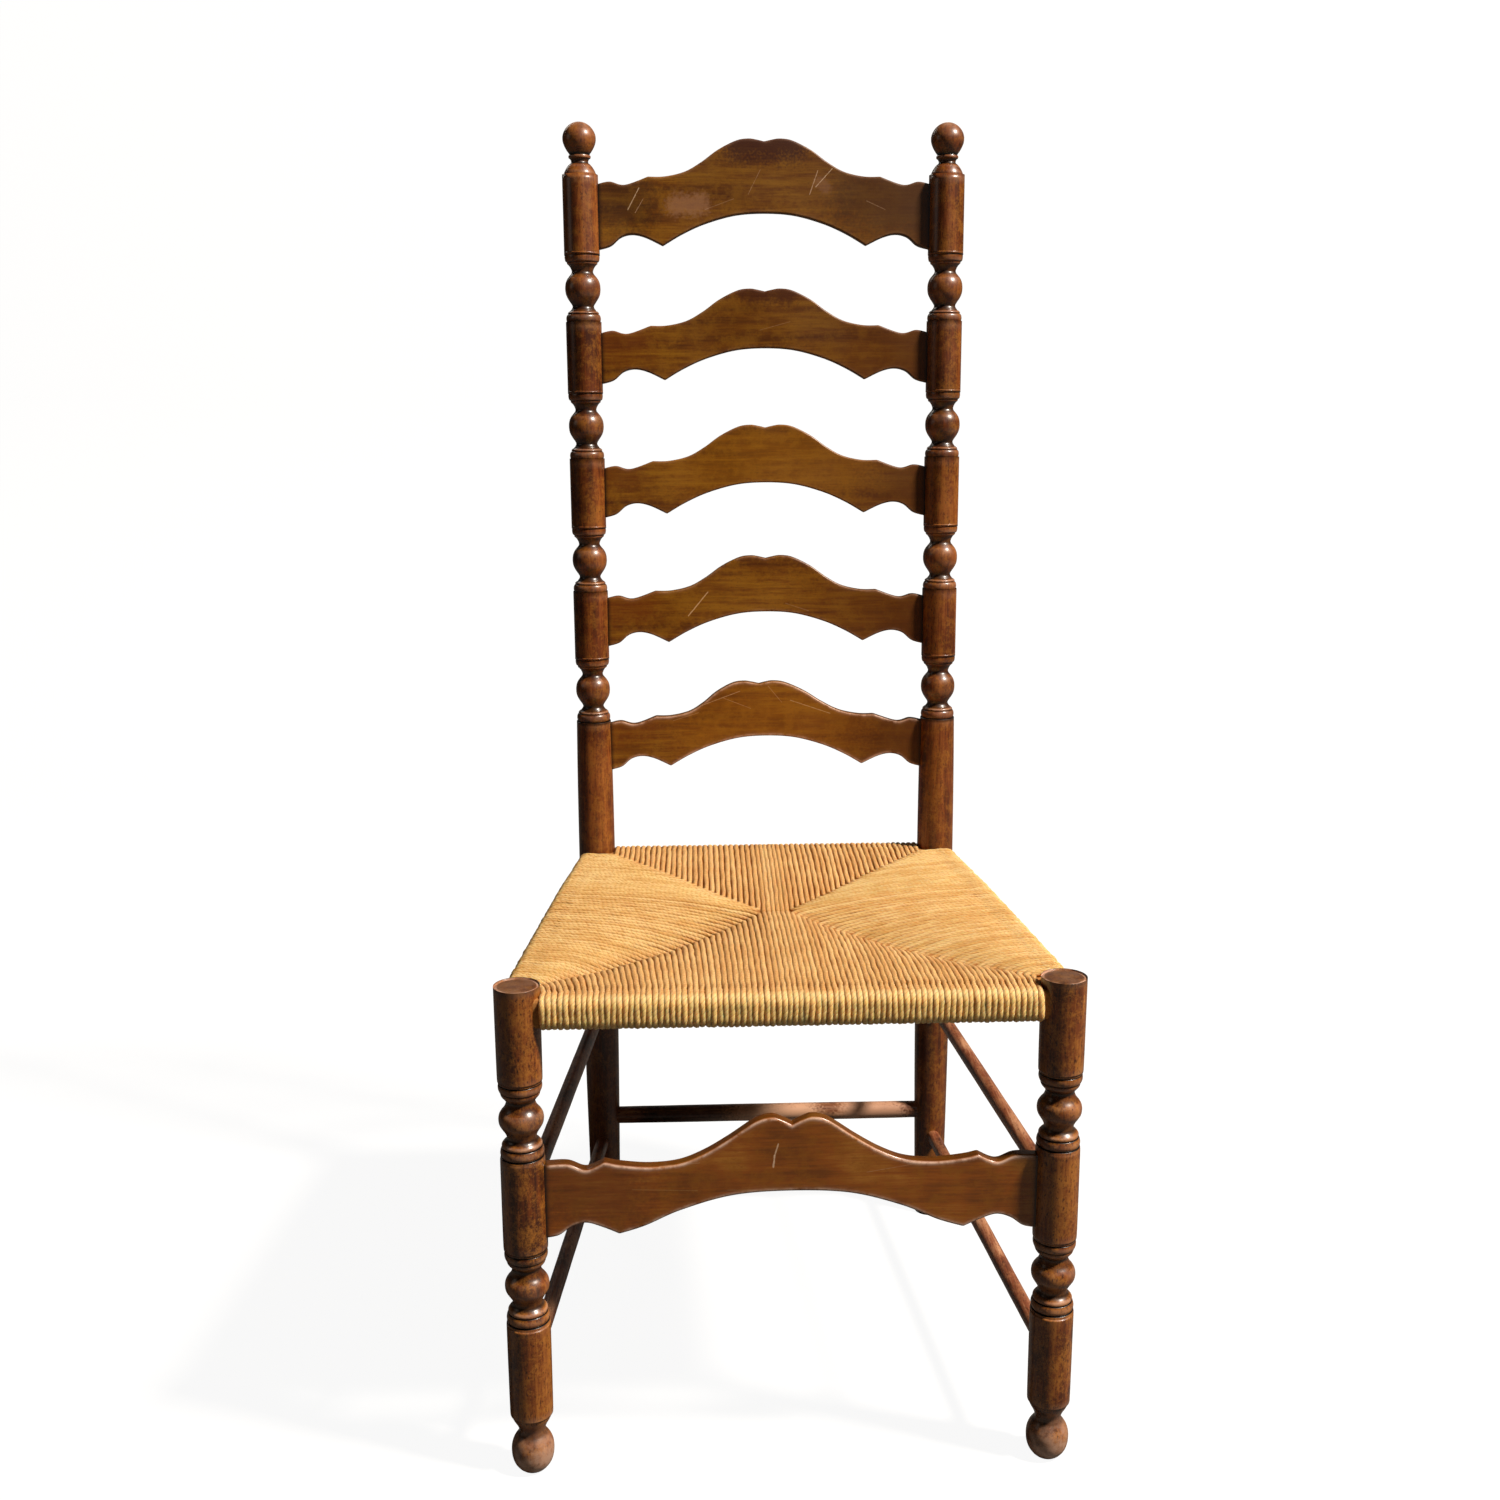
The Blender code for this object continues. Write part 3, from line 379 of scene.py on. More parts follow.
def spin(name, outline, axis, side, end_grain, worn_foot):
    """Rings of points round an axis, closed by a point at each end.

    Above the height end_grain the open grain drinks more stain; below worn_foot the foot is rubbed.
    """
    dense = [(z, max(r, 0.0)) for z, r in smooth_outline(outline)]
    verts, faces, hollow, proud, rings = [], [], [], [], []
    for height, radius in dense:
        centre = axis(side, height)
        nearby = min(radius_at(dense, height + shift) for shift in (GROOVE_SPREAD, -GROOVE_SPREAD))
        nearby = min(nearby, radius)
        mean = local_mean(dense, height)
        depth = (mean - nearby if mean > nearby else mean - radius) * min(radius / POLE_FADE, 1.0) ** 4
        low, high = share_of(depth, HOLLOW_FULL), share_of(-depth, PROUD_FULL)
        if height > end_grain:
            low, high = END_GRAIN
        elif height > end_grain - RIM_DEPTH:
            # The rim is paled as rubbed wear and as a painted highlight on its arris.
            low, high = RIM_WEAR_AND_HIGHLIGHT
        high = max(high, FOOT_WEAR * (1 - height / worn_foot)) if worn_foot else high
        sides = TURN_SIDES if radius > 0.0 else 1
        rings.append((len(verts), sides))
        for angle in [math.tau * k / TURN_SIDES for k in range(sides)]:
            verts.append(centre + Vector((radius * math.cos(angle), radius * math.sin(angle), 0.0)))
            hollow.append(low)
            proud.append(high)
    for (first, sides), (second, next_sides) in zip(rings, rings[1:]):
        for k in range(TURN_SIDES):
            j = (k + 1) % TURN_SIDES
            upper = (first + k, first + j) if sides > 1 else (first,)
            lower = (second + j, second + k) if next_sides > 1 else (second,)
            if len(upper) + len(lower) > 2:
                faces.append(upper + lower)
    return new_mesh(name, verts, faces, hollow=hollow, proud=proud)


posts = {}
for side, word in ((-1, "left"), (1, "right")):
    posts["rear_post_" + word] = spin("turned_rear_post_" + word, rear_outline, rear_axis, side,
                                      REAR_TOP, 0.0)
    posts["front_post_" + word] = spin("turned_front_post_" + word, front_outline, front_axis, side,
                                       FRONT_RIM, FOOT_WEAR_HEIGHT)
print({name: len(post.data.polygons) for name, post in posts.items()})

# %% [markdown]
# ## Slats and board
#
# Each slat was sawn to a drawn outline from a thin board and its edges were rounded by hand. A
# filled curve gives such a shape in one step, but its flat face is long thin triangles. A grid of
# columns between the upper and the lower line takes the same outline, keeps the faces even, and
# lets the edges be rounded and marked as worn.

# %% Outlines of slat and board
# Share of the half span, share of the rise or of the arch, and a mark on sharp corners.
SLAT_TOP = [(0.0, 0.935, 1), (0.045, 0.975), (0.095, 1.0), (0.17, 0.955), (0.28, 0.75), (0.38, 0.48),
            (0.48, 0.27), (0.60, 0.165), (0.70, 0.16, 1), (0.84, -0.02), (0.93, 0.05), (1.0, 0.0, 1)]
SLAT_BOTTOM = [(0.0, 1.0), (0.18, 0.94), (0.36, 0.71), (0.50, 0.42), (0.617, 0.10, 1), (0.72, 0.33),
               (0.80, 0.41), (0.87, 0.33), (0.93, 0.10), (1.0, 0.0, 1)]
BOARD_TOP = [(0.0, 0.82, 1), (0.04, 0.93), (0.085, 1.0), (0.15, 0.90), (0.26, 0.50), (0.36, 0.18),
             (0.46, -0.03), (0.58, -0.09), (0.70, -0.03), (0.76, 0.04, 1), (0.835, -0.13), (0.91, 0.01),
             (1.0, 0.0, 1)]
BOARD_BOTTOM = [(0.0, 1.0), (0.24, 0.92), (0.45, 0.60), (0.60, 0.24), (0.705, 0.06, 1), (0.77, 0.22),
                (0.84, 0.34), (0.90, 0.25), (0.95, 0.06), (1.0, 0.0, 1)]
COLUMN_GAP = 1.5 * MM
# Rows of the face close to an edge, and how rubbed they are; then the wear round the edge itself, whose pale
# share is also a painted highlight.
FACE_MARGINS = (0.6 * MM, 2.0 * MM, 5.0 * MM)
EDGE_WEAR = (0.4, 0.05, 0.0)
NARROW_WEAR = 0.5
ARRIS_WEAR = (0.9, 1.0, 1.0, 0.4, -0.3, -0.55, -0.6)
FACE_ROWS = 7
EDGE_STEPS = 6
JOINT_SHADE = 5 * MM
TENON = 13 * MM
CREST_TRIES = 4


def line_at(points, low, high):
    """Height of a smooth drawn line at any share of the half span."""
    drawn = [(point[0], point[1], len(point) > 2) for point in points]
    mirror = [(-x, y, corner) for x, y, corner in drawn[1:3]][::-1]
    dense = smooth_outline(mirror + drawn)

    def height(share):
        for (x1, y1), (x2, y2) in zip(dense, dense[1:]):
            if x1 <= share <= x2 and x2 > x1:
                return low + (high - low) * (y1 + (y2 - y1) * (share - x1) / (x2 - x1))
        return low
    return height


def section(top, bottom, thickness, round_off):
    """Closed loop of (depth, height, wear) up the front face, over, down the back and under.

    Wear is 1 where the arris is rubbed, which also paints a highlight there, and below 0 on the
    edge itself, where old polish darkens it.
    """
    half = thickness / 2
    inner_top, inner_bottom = top - round_off, bottom + round_off
    span = inner_top - inner_bottom
    margins = list(zip(FACE_MARGINS, EDGE_WEAR))
    rows = [(inner_bottom + gap, wear) for gap, wear in margins]
    first, last = rows[-1][0], inner_top - FACE_MARGINS[-1]
    rows += [(first + (last - first) * k / FACE_ROWS, 0.0) for k in range(1, FACE_ROWS)]
    rows += [(inner_top - gap, wear) for gap, wear in reversed(margins)]
    if span < 2 * FACE_MARGINS[-1]:
        rows = [(inner_bottom + span * (k + 1) / (len(rows) + 1), NARROW_WEAR) for k in range(len(rows))]
    front = [(-half, z, wear) for z, wear in rows]
    turns = [math.pi / 2 * k / EDGE_STEPS for k in range(EDGE_STEPS + 1)]
    over = [(-half + round_off * (1 - math.cos(a)), inner_top + round_off * math.sin(a), wear)
            for a, wear in zip(turns, ARRIS_WEAR)]
    over += [(-d, z, wear) for d, z, wear in reversed(over)]
    under = [(d, inner_bottom - (z - inner_top), wear) for d, z, wear in reversed(over)]
    return front + over + [(half, z, wear) for z, wear in reversed(rows)] + under


def leaning_crest(upper, x, half_span, rise, shift):
    """Height of the upper line at x when its crest was drawn a little off the middle."""
    plain = x
    for _ in range(CREST_TRIES):
        plain = x - shift * max(1 + upper(abs(plain) / half_span) / rise, 0.0)
    return upper(abs(plain) / half_span)


def tube_faces(rings, size):
    """Faces that join a row of closed rings of points, with one face over each end."""
    faces = []
    for first in range(0, (rings - 1) * size, size):
        for k in range(size):
            j = (k + 1) % size
            faces.append((first + k, first + j, first + size + j, first + size + k))
    return faces + [tuple(range(size)), tuple(range((rings - 1) * size, rings * size))]


def sawn_board(name, lines, half_span, thickness, round_off, to_world, rise, wear, crest_shift=0.0):
    """Columns of the section between two drawn lines, closed at both ends."""
    upper, lower = lines
    end_reach = half_span + TENON
    count = round(2 * end_reach / COLUMN_GAP)
    verts, proud, hollow = [], [], []
    for column in range(count + 1):
        x = -end_reach + 2 * end_reach * column / count
        top = leaning_crest(upper, x, half_span, rise, crest_shift)
        loop = section(top, lower(abs(x) / half_span), thickness, round_off)
        near_post = share_of(abs(x) - half_span + JOINT_SHADE, JOINT_SHADE)
        for depth, height, worn in loop:
            verts.append(to_world(x, depth, height))
            proud.append(max(worn, 0.0) * wear * (1 - near_post))
            hollow.append(max(near_post * near_post, -worn))
    return new_mesh(name, verts, tube_faces(count + 1, len(loop)), hollow=hollow, proud=proud)


# %% [markdown]
# The five slats share one drawn outline. The top one is deeper, the lowest has its crest a little
# to the left, and all lean with the back. The board below the seat has an outline of its own.

# %% Saw the slats and the board
SLAT_THICKNESS = 9 * MM
SLAT_RISE = 42 * MM
SLAT_ARCH = 34 * MM
SLAT_WAIST = 57 * MM
TOP_SLAT_EXTRA = 12.2 * MM
SLAT_ROUNDING = 1.7 * MM
DRUM_RADIUS = 17.4 * MM
SLAT_CRESTS = [1118.0 * MM, 977.7 * MM, 846.4 * MM, 716.5 * MM, 588.0 * MM]
CREST_SHIFTS = [0.0, 0.0, 0.0, 0.0, -8 * MM]
SLAT_WEAR = [0.15, 0.12, 0.12, 0.25, 1.0]
BOARD_THICKNESS = 11 * MM
BOARD_RISE = 37 * MM
BOARD_ARCH = 36.7 * MM
BOARD_WAIST = 64 * MM
BOARD_CREST = 310.5 * MM
BOARD_ROUNDING = 2.2 * MM
BOARD_WEAR = 1.0
LOWER_DRUM_RADIUS = 17.8 * MM

slats = []
for number, crest in enumerate(SLAT_CRESTS, start=1):
    waist = SLAT_WAIST + (TOP_SLAT_EXTRA if number == 1 else 0.0)
    half_span = rear_axis(1, crest - SLAT_RISE).x - DRUM_RADIUS
    middle_y = rear_axis(1, crest).y
    lines = (line_at(SLAT_TOP, -SLAT_RISE, 0.0), line_at(SLAT_BOTTOM, -waist - SLAT_ARCH, -waist))

    def lean(x, depth, height, crest=crest, y=middle_y):
        return Vector((x, y + depth * math.cos(BACK_RAKE) + height * math.sin(BACK_RAKE),
                       crest + height * math.cos(BACK_RAKE) - depth * math.sin(BACK_RAKE)))

    slats.append(sawn_board("sawn_slat_%d" % number, lines, half_span, SLAT_THICKNESS, SLAT_ROUNDING, lean,
                            SLAT_RISE, SLAT_WEAR[number - 1], CREST_SHIFTS[number - 1]))
half_span = FRONT_SPACING / 2 - LOWER_DRUM_RADIUS
lines = (line_at(BOARD_TOP, -BOARD_RISE, 0.0), line_at(BOARD_BOTTOM, -BOARD_WAIST - BOARD_ARCH, -BOARD_WAIST))


def upright(x, depth, height):
    return Vector((x, FRONT_LINE + depth, BOARD_CREST + height))


board = sawn_board("sawn_front_board", lines, half_span, BOARD_THICKNESS, BOARD_ROUNDING, upright,
                   BOARD_RISE, BOARD_WEAR)
print("slat faces:", [len(slat.data.polygons) for slat in slats], "board:", len(board.data.polygons))

# %% [markdown]
# ## Stretchers
#
# The stretchers are plain dowels, shaved by hand, so each is a little thinner at its ends. A bare
# cylinder would do at a distance. Here a rod is a row of rings that swells and wavers slightly.

# %% Rods
ROD_SIDES = 32
ROD_RINGS = 61
ROD_WAVER = 0.25 * MM
ROD_WAVER_COUNT = 9
ROD_END_SHARE = 0.95


def shaved_rod(name, start, end, radius, seed):
    """Rings along a straight line, thinner towards the tenons."""
    along = (end - start).normalized()
    side = along.cross(Vector((0.0, 0.0, 1.0))).normalized()
    over = side.cross(along)
    verts = []
    for share in [ring / (ROD_RINGS - 1) for ring in range(ROD_RINGS)]:
        swell = ROD_END_SHARE + (1 - ROD_END_SHARE) * math.sin(math.pi * share) ** 0.5
        centre = start.lerp(end, share)
        for angle in [math.tau * k / ROD_SIDES for k in range(ROD_SIDES)]:
            out = side * math.cos(angle) + over * math.sin(angle)
            spot = noise.noise(Vector((math.cos(angle), math.sin(angle), share * ROD_WAVER_COUNT + seed)))
            verts.append(centre + out * (radius * swell - ROD_WAVER * abs(spot)))
    return new_mesh(name, verts, tube_faces(ROD_RINGS, ROD_SIDES))


SIDE_ROD_RADIUS = 7.1 * MM
REAR_ROD_RADIUS = 9.2 * MM
UPPER_ROD_HEIGHT = 239 * MM
LOWER_ROD_HEIGHT = 92 * MM
REAR_ROD_HEIGHT = 116.5 * MM
ROD_INSET = 8 * MM
rods = {}
for side, word in ((-1, "left"), (1, "right")):
    for level, height in (("upper", UPPER_ROD_HEIGHT), ("lower", LOWER_ROD_HEIGHT)):
        start, end = front_axis(side, height), rear_axis(side, height)
        inset = (end - start).normalized() * ROD_INSET
        name = "side_stretcher_%s_%s" % (level, word)
        rods[name] = shaved_rod("shaved_" + name, start + inset, end - inset, SIDE_ROD_RADIUS, len(rods))
start, end = rear_axis(-1, REAR_ROD_HEIGHT), rear_axis(1, REAR_ROD_HEIGHT)
rods["rear_stretcher"] = shaved_rod("shaved_rear_stretcher", start, end, REAR_ROD_RADIUS, len(rods))
print("rods:", len(rods), "of", len(rods["rear_stretcher"].data.polygons), "faces")

# %% [markdown]
# ## Stained wood
#
# The wood is close-grained beech, brushed with a brown spirit stain and a thin satin lacquer.
# Stain soaks deeper into soft streaks, speckles the end-cut fibres of the turnings, gathers nearly
# black in every groove, and rubs off where the turning or an edge stands proud. The black in the
# grooves is also painted shade, and the pale rubbed rings and edges are also a painted highlight.
# One flat colour with bumps would miss all that, so the colour is built in coats: streaks, fibres
# and clouds along the grain, golden patches, dark pits, painted shade at the slats' right ends,
# then marks, pale worn edges and black hollows over them.

# %% Stained wood finish
# The fibres and flecks of real beech are finer than 1 mm. They are drawn coarser here, so that they show.
STREAK_WIDTH = 9 * MM
FIBRE_WIDTH = 1.9 * MM
CLOUD_WIDTH = 60 * MM
FLECK_WIDTH = 1.6 * MM
GOLD_WIDTH = 18 * MM
RUB_WIDTH = 14 * MM
RAGGED_WIDTH = 2.5 * MM
RAGGED_EDGE = 1.2
SOFT_EDGE = 0.25
FIBRE_SHARE = 0.35
STAIN_AND_SHADE_BLACK = "0B0503"
ACROSS, BACK, UP = 0, 1, 2


def mark_cover(tree, place, ragged, mark):
    """How far a scratch or rubbed patch from one (x, z) point in mm to another covers the wood."""
    (x1, z1), (x2, z2), width, strength, _ = mark
    width = width * MM
    start, run = Vector((x1, 0.0, z1)) * MM, Vector((x2 - x1, 0.0, z2 - z1)) * MM
    past = put(tree, "VectorMath", [place, start], operation="SUBTRACT")
    flat = put(tree, "VectorMath", [past, (1.0, 0.0, 1.0)], operation="MULTIPLY")
    reach = put(tree, "VectorMath", [flat, run], operation="DOT_PRODUCT")
    share = put(tree, "Math", [reach, 1.0 / run.length_squared],
                operation="MULTIPLY", use_clamp=True)
    nearest = put(tree, "VectorMath", {0: run, "Scale": share}, operation="SCALE")
    gap = put(tree, "VectorMath", [flat, nearest], operation="DISTANCE")
    edge = put(tree, "Math", [ragged, -RAGGED_EDGE * width, gap], operation="MULTIPLY_ADD")
    return put(tree, "MapRange", {"Value": edge, "From Min": -SOFT_EDGE * width,
                                  "From Max": SOFT_EDGE * width, "To Min": strength, "To Max": 0.0})


def stained_wood(name, colours, axis, rub=0.8, clouds=0.5, gold="8A5412", gilt=0.6, shade=None, marks=(),
                 pits=0.35, speckle=0.75, coat=0.5):
    """Dark, middle, light and worn colours, with the grain along one axis."""
    # Beech, brush-stained and lacquered: even and close, with a satin sheen that streaks and pits break up.
    dark, middle, light, worn = colours
    material, tree, shader = new_material(name)
    place = put(tree, "TexCoord").outputs["Object"]
    # Each pattern's width, its stretch along the grain, its detail and its roughness.
    patterns = {"streaks": (STREAK_WIDTH, 22.0, 4.0, 0.6), "fibres": (FIBRE_WIDTH, 14.0, 3.0, 0.6),
                "flecks": (FLECK_WIDTH, 2.5, 2.0, 0.6), "clouds": (CLOUD_WIDTH, 1.0, 3.0, 0.5),
                "golden": (GOLD_WIDTH, 1.0, 6.0, speckle), "rubbing": (RUB_WIDTH, 1.0, 5.0, 0.7)}
    if marks:
        patterns["ragged"] = (RAGGED_WIDTH, 1.0, 4.0, 0.5)
    found = {}
    for label, (width, stretch, detail, rough) in patterns.items():
        scale = [1.0, 1.0, 1.0]
        scale[axis] = 1.0 / stretch
        mapped = put(tree, "Mapping", {"Vector": place, "Scale": scale})
        found[label] = put(tree, "TexNoise", {"Vector": mapped, "Scale": 1.0 / width,
                                              "Detail": detail, "Roughness": rough})
    mixed = put(tree, "Mix", {0: clouds, 2: found["streaks"], 3: found["clouds"]}, data_type="FLOAT")
    blend = put(tree, "Math", [found["fibres"], FIBRE_SHARE, mixed], operation="MULTIPLY_ADD")
    colour = put(tree, "ValToRGB", {"Fac": blend}, stops=[(0.54, dark), (0.68, middle), (0.82, light)])
    # Where a coat lies: its pattern or place, the values between which it comes in, and its most.
    ranges = [(found["golden"], 0.46, 0.60, gilt), (found["flecks"], 0.56, 0.70, pits),
              (found["rubbing"], 0.34, 0.58, rub)]
    # Painted shade: a darkening across x, which on the slats deepens the shadow that the right post throws on
    # their right ends.
    if shade:
        ranges.append((put(tree, "SeparateXYZ", [place]), *shade))
    gilded, pitted, patchy, *shaded = [
        put(tree, "MapRange", {"Value": source, "From Min": low, "From Max": high, "To Max": most})
        for source, low, high, most in ranges]
    hollow, proud = [put(tree, "Attribute", attribute_name=label).outputs["Fac"]
                     for label in ("hollow", "proud")]
    # Pale rubbed wear on proud rings and edges, which is also a painted highlight.
    rubbed = put(tree, "Math", [proud, patchy], operation="MULTIPLY")
    coats = [(gilded, gold), (pitted, dark)] + [(cover, dark) for cover in shaded]
    coats += [(mark_cover(tree, place, found["ragged"], mark), mark[-1]) for mark in marks]
    # Black stain gathers in the hollows and grooves, and the black there is also painted shade.
    for cover, paint in coats + [(rubbed, worn), (hollow, STAIN_AND_SHADE_BLACK)]:
        colour = put(tree, "Mix", {0: cover, 6: colour, 7: paint}, data_type="RGBA")
    gloss = put(tree, "MapRange", {"Value": found["clouds"], "From Min": 0.3, "From Max": 0.7,
                                   "To Min": 0.34, "To Max": 0.48})
    bump = put(tree, "Bump", {"Height": found["fibres"], "Strength": 0.25, "Distance": 0.3 * MM})
    feed(shader, {"Base Color": colour, "Roughness": gloss, "Normal": bump, "Specular IOR Level": 0.32,
                  "Coat Weight": coat, "Coat Roughness": 0.24})
    return material


# %% Scratches, rubbed patches, and painted light and shade
# Two (x, z) points and a width in mm, then strength and colour.
SLAT_MARKS = [
    ((-150, 1060), (-132, 1058), 44, 0.50, "38220F"), ((96, 1064), (140, 1058), 50, 0.45, "3E2812"),
    ((-50, 1078), (60, 1078), 56, 0.22, "42280F"), ((-60, 950), (60, 950), 50, 0.20, "42240A"),
    # The two wide golden patches in the middle of slats 3 and 5 are a painted sheen.
    ((-66, 816), (66, 816), 70, 0.22, "A86C14"), ((-66, 557), (66, 557), 70, 0.18, "B26C18"),
    ((-22, 1116), (26, 1116), 30, 0.85, "3A1A12"), ((-14, 976), (22, 976), 20, 0.70, "46200E"),
    ((-150, 930), (-135, 930), 40, 0.40, "662C08"), ((-150, 800), (-138, 800), 26, 0.45, "5C2608"),
    ((-150, 670), (-130, 672), 34, 0.45, "6A2C08"), ((-150, 545), (-130, 548), 34, 0.35, "74340A"),
    ((-86, 1056), (-64, 1057), 16, 0.50, "A07252"), ((54, 1077), (60, 1072), 9, 0.35, "8A6048"),
    ((-133, 1052), (-122, 1072), 0.7, 0.60, "D9B896"), ((-126, 1049), (-118, 1062), 0.5, 0.45, "C9A080"),
    ((44, 1066), (52, 1088), 0.6, 0.50, "D0AC8C"), ((50, 1073), (66, 1090), 0.6, 0.55, "D9B896"),
    ((-16, 1066), (-4, 1089), 0.4, 0.35, "C09A78"), ((-58, 1052), (-30, 1062), 0.4, 0.30, "C09A78"),
    ((100, 1060), (118, 1052), 0.5, 0.30, "C09A78"), ((-5, 938), (25, 946), 0.4, 0.30, "B89068"),
    ((-79, 656), (-59, 680), 0.8, 0.70, "D9AE80"), ((20, 668), (44, 660), 0.4, 0.30, "C09A78"),
    ((-68, 563), (-27, 578), 0.5, 0.45, "D9AE80"), ((-44, 571), (-16, 560), 0.4, 0.40, "D0A070"),
    ((25, 568), (66, 554), 0.5, 0.45, "D9AE80"), ((76, 577), (98, 563), 0.5, 0.45, "D9AE80"),
    ((2, 583), (16, 566), 0.4, 0.40, "D0A070"), ((-96, 548), (-70, 556), 0.4, 0.40, "D0A070")]
BOARD_MARKS = [((-200, 275), (-150, 250), 60, 0.35, "4A200C"), ((-11, 288), (-14, 278), 0.8, 0.70, "E0BC9A"),
               ((-14, 278), (-15, 268), 1.2, 0.80, "E0BC9A"), ((-128, 251), (-76, 249), 0.5, 0.35, "B98A50"),
               ((-52, 249), (-18, 248), 0.5, 0.35, "B98A50"),
               ((-106, 270), (-74, 273), 0.4, 0.35, "C89C78"), ((60, 262), (96, 268), 0.4, 0.30, "C89C78")]
# Rear stretcher: the two pale patches are painted sunlight, and the dark one on its left is a painted shadow.
ROD_PAINTED_SUN_AND_SHADOW = [((-14, 116), (38, 116), 28, 0.80, "CFA080"), ((94, 116), (132, 116), 26, 0.75, "C8987A"),
             ((-120, 116), (-60, 116), 28, 0.60, "1E0C06")]
# Painted shade: the right end of each slat darkens between these distances from the middle in metres, to this
# share, deepening the shadow that the right post throws on it.
SLAT_SHADE = (0.02, 0.165, 0.9)
print("marks:", len(SLAT_MARKS), "on slats,", len(BOARD_MARKS), "on the board,", len(ROD_PAINTED_SUN_AND_SHADOW), "on a rod")

# %% [markdown]
# The turned posts show more pits and speckles than the sawn boards, because a turner cuts across
# the fibres. The front posts and the board were kicked and rubbed paler. The slats darken towards
# their right ends, as painted shade. Of the rods, the rear one has pale painted patches where the
# sun falls on it and a painted shadow on its left part. The rails inside the rush were never stained.

# %% Finish the wood
rear_post_finish = stained_wood("stained_beech_rear_posts", ("3E1C0C", "66300F", "8C4E1E", "B08A74"), UP,
                                rub=0.5, clouds=0.35, gold="9C6422", gilt=0.5, pits=0.75, speckle=0.92)
front_post_finish = stained_wood("stained_beech_front_posts", ("3A1808", "723812", "A06226", "B89078"), UP,
                                 rub=0.6, clouds=0.6, gold="A46826", gilt=0.75, pits=0.95, speckle=0.95)
slat_finish = stained_wood("stained_beech_slats", ("522A08", "704009", "8C5C12", "C9A088"), ACROSS,
                           clouds=0.28, gold="8A5A12", shade=SLAT_SHADE, marks=SLAT_MARKS, coat=0.1)
board_finish = stained_wood("stained_beech_board", ("743E0C", "944F10", "A86A22", "D9B49E"), ACROSS, rub=0.9,
                            clouds=0.6, gold="92580F", marks=BOARD_MARKS)
rod_finish = stained_wood("stained_beech_rods", ("3C1A0E", "84492E", "BE8A66", "C79C82"), BACK, clouds=0.6,
                          gold="A06A46", pits=0.7)
cross_rod_finish = stained_wood("stained_beech_cross_rod", ("2A1008", "6A3A22", "A87A58", "C79C82"), ACROSS,
                                clouds=0.6, gold="8A5A3A", marks=ROD_PAINTED_SUN_AND_SHADOW, pits=0.7)
raw_finish = stained_wood("bare_beech_rails", ("8A5E33", "A87B4C", "C39A69", "C8A47A"), ACROSS, rub=0.2,
                          clouds=0.4, gold="B58A50")


def dress(piece, node, finish=None):
    """Puts a piece in the place of a CAD node, with its finish unless it has one already."""
    if finish:
        piece.data.materials.append(finish)
    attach(piece, BODY)
    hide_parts(node)


for node, post in posts.items():
    finish = rear_post_finish if node.startswith("rear") else front_post_finish
    dress(post, node, finish)
for number, slat in enumerate(slats, start=1):
    dress(slat, "ladder_slat_%d" % number, slat_finish)
dress(board, "front_stretcher_board", board_finish)
for node, rod in rods.items():
    dress(rod, node, cross_rod_finish if node == "rear_stretcher" else rod_finish)
for node in ("seat_rail_front", "seat_rail_rear", "seat_rail_left", "seat_rail_right"):
    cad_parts[node].material_slots[0].material = raw_finish
print("finished:", len(posts) + len(slats) + len(rods) + 1, "pieces")

# %% [markdown]
# ## Rush seat
#
# A rush seat is one long twisted cord. It is wound over a rail, up through the middle and over the
# next rail, so the strands lie in four fields, and along each seam a strand of one field turns
# the corner into the next. The seams sink below the rails. A texture on a flat pad would lose the
# ridges and the mitred seams, so every strand is drawn as a path first: under a rail, round it,
# in to the seam, round the corner and out over the next rail.

# %% Plan of the seat
# In mm, with y measured back from the line of the front posts.
STRAND = 2.75
SIDE_STRAND = 3.1
PRESSED = 0.3
END_COVER = 5.2
SIDE_COVER = 6.0
RUSH_LAYER = 5.5
RAIL_HALF_WIDTH = 10.0
RAIL_HALF_HEIGHT = 9.5
RAIL_EDGE = 4.0
REAR_RAIL_DROP = 4.5
DEPTH = SEAT_DEPTH / MM
FRONT_HALF = FRONT_SPACING / MM / 2
SIDE_SLOPE = (FRONT_SPACING - REAR_SPACING) / 2 / SEAT_DEPTH
SEAT_EDGE = RAIL_HALF_WIDTH + RUSH_LAYER
CROSSING = 0.58 * DEPTH
HALF_GAP = 13.0
SEAM_DROP = 17.0
SEAM_THICKNESS = 10.0
SAG_POWER = 2.1
HALVINGS = 30
FRONT_SEAM = [(0.0, 0.88), (0.18, 1.0), (0.41, 0.95), (0.65, 0.61), (0.85, 0.09), (1.0, 0.0)]
REAR_SEAM = [(0.0, 0.88), (0.19, 0.68), (0.46, 0.26), (0.80, 0.03), (1.0, 0.0)]
RIM_GROWTH = [(0.0, 0.0), (0.65, 0.0), (0.88, 1.0), (1.0, 1.0)]
# How far the front strands of the left half lean outwards by the time they reach the seam.
LEFT_FAN = [(0.0, 0.0), (0.25, 4.0), (0.55, 9.0), (0.8, 7.5), (1.0, 0.0)]


def between(table, place):
    """Value at a place in a table of (place, value) pairs."""
    for (low, first), (high, second) in zip(table, table[1:]):
        if place <= high:
            return first + (second - first) * (place - low) / (high - low)
    return table[-1][1]


def rail_line(y):
    return RAIL_HEIGHT / MM - REAR_RAIL_DROP * y / DEPTH


def side_rail(y):
    return FRONT_HALF - SIDE_SLOPE * y


def seam_run(at_front):
    """How far a seam runs to the front or rear, from the crossing to the rush's edge."""
    return CROSSING + SEAT_EDGE if at_front else DEPTH + SEAT_EDGE - CROSSING


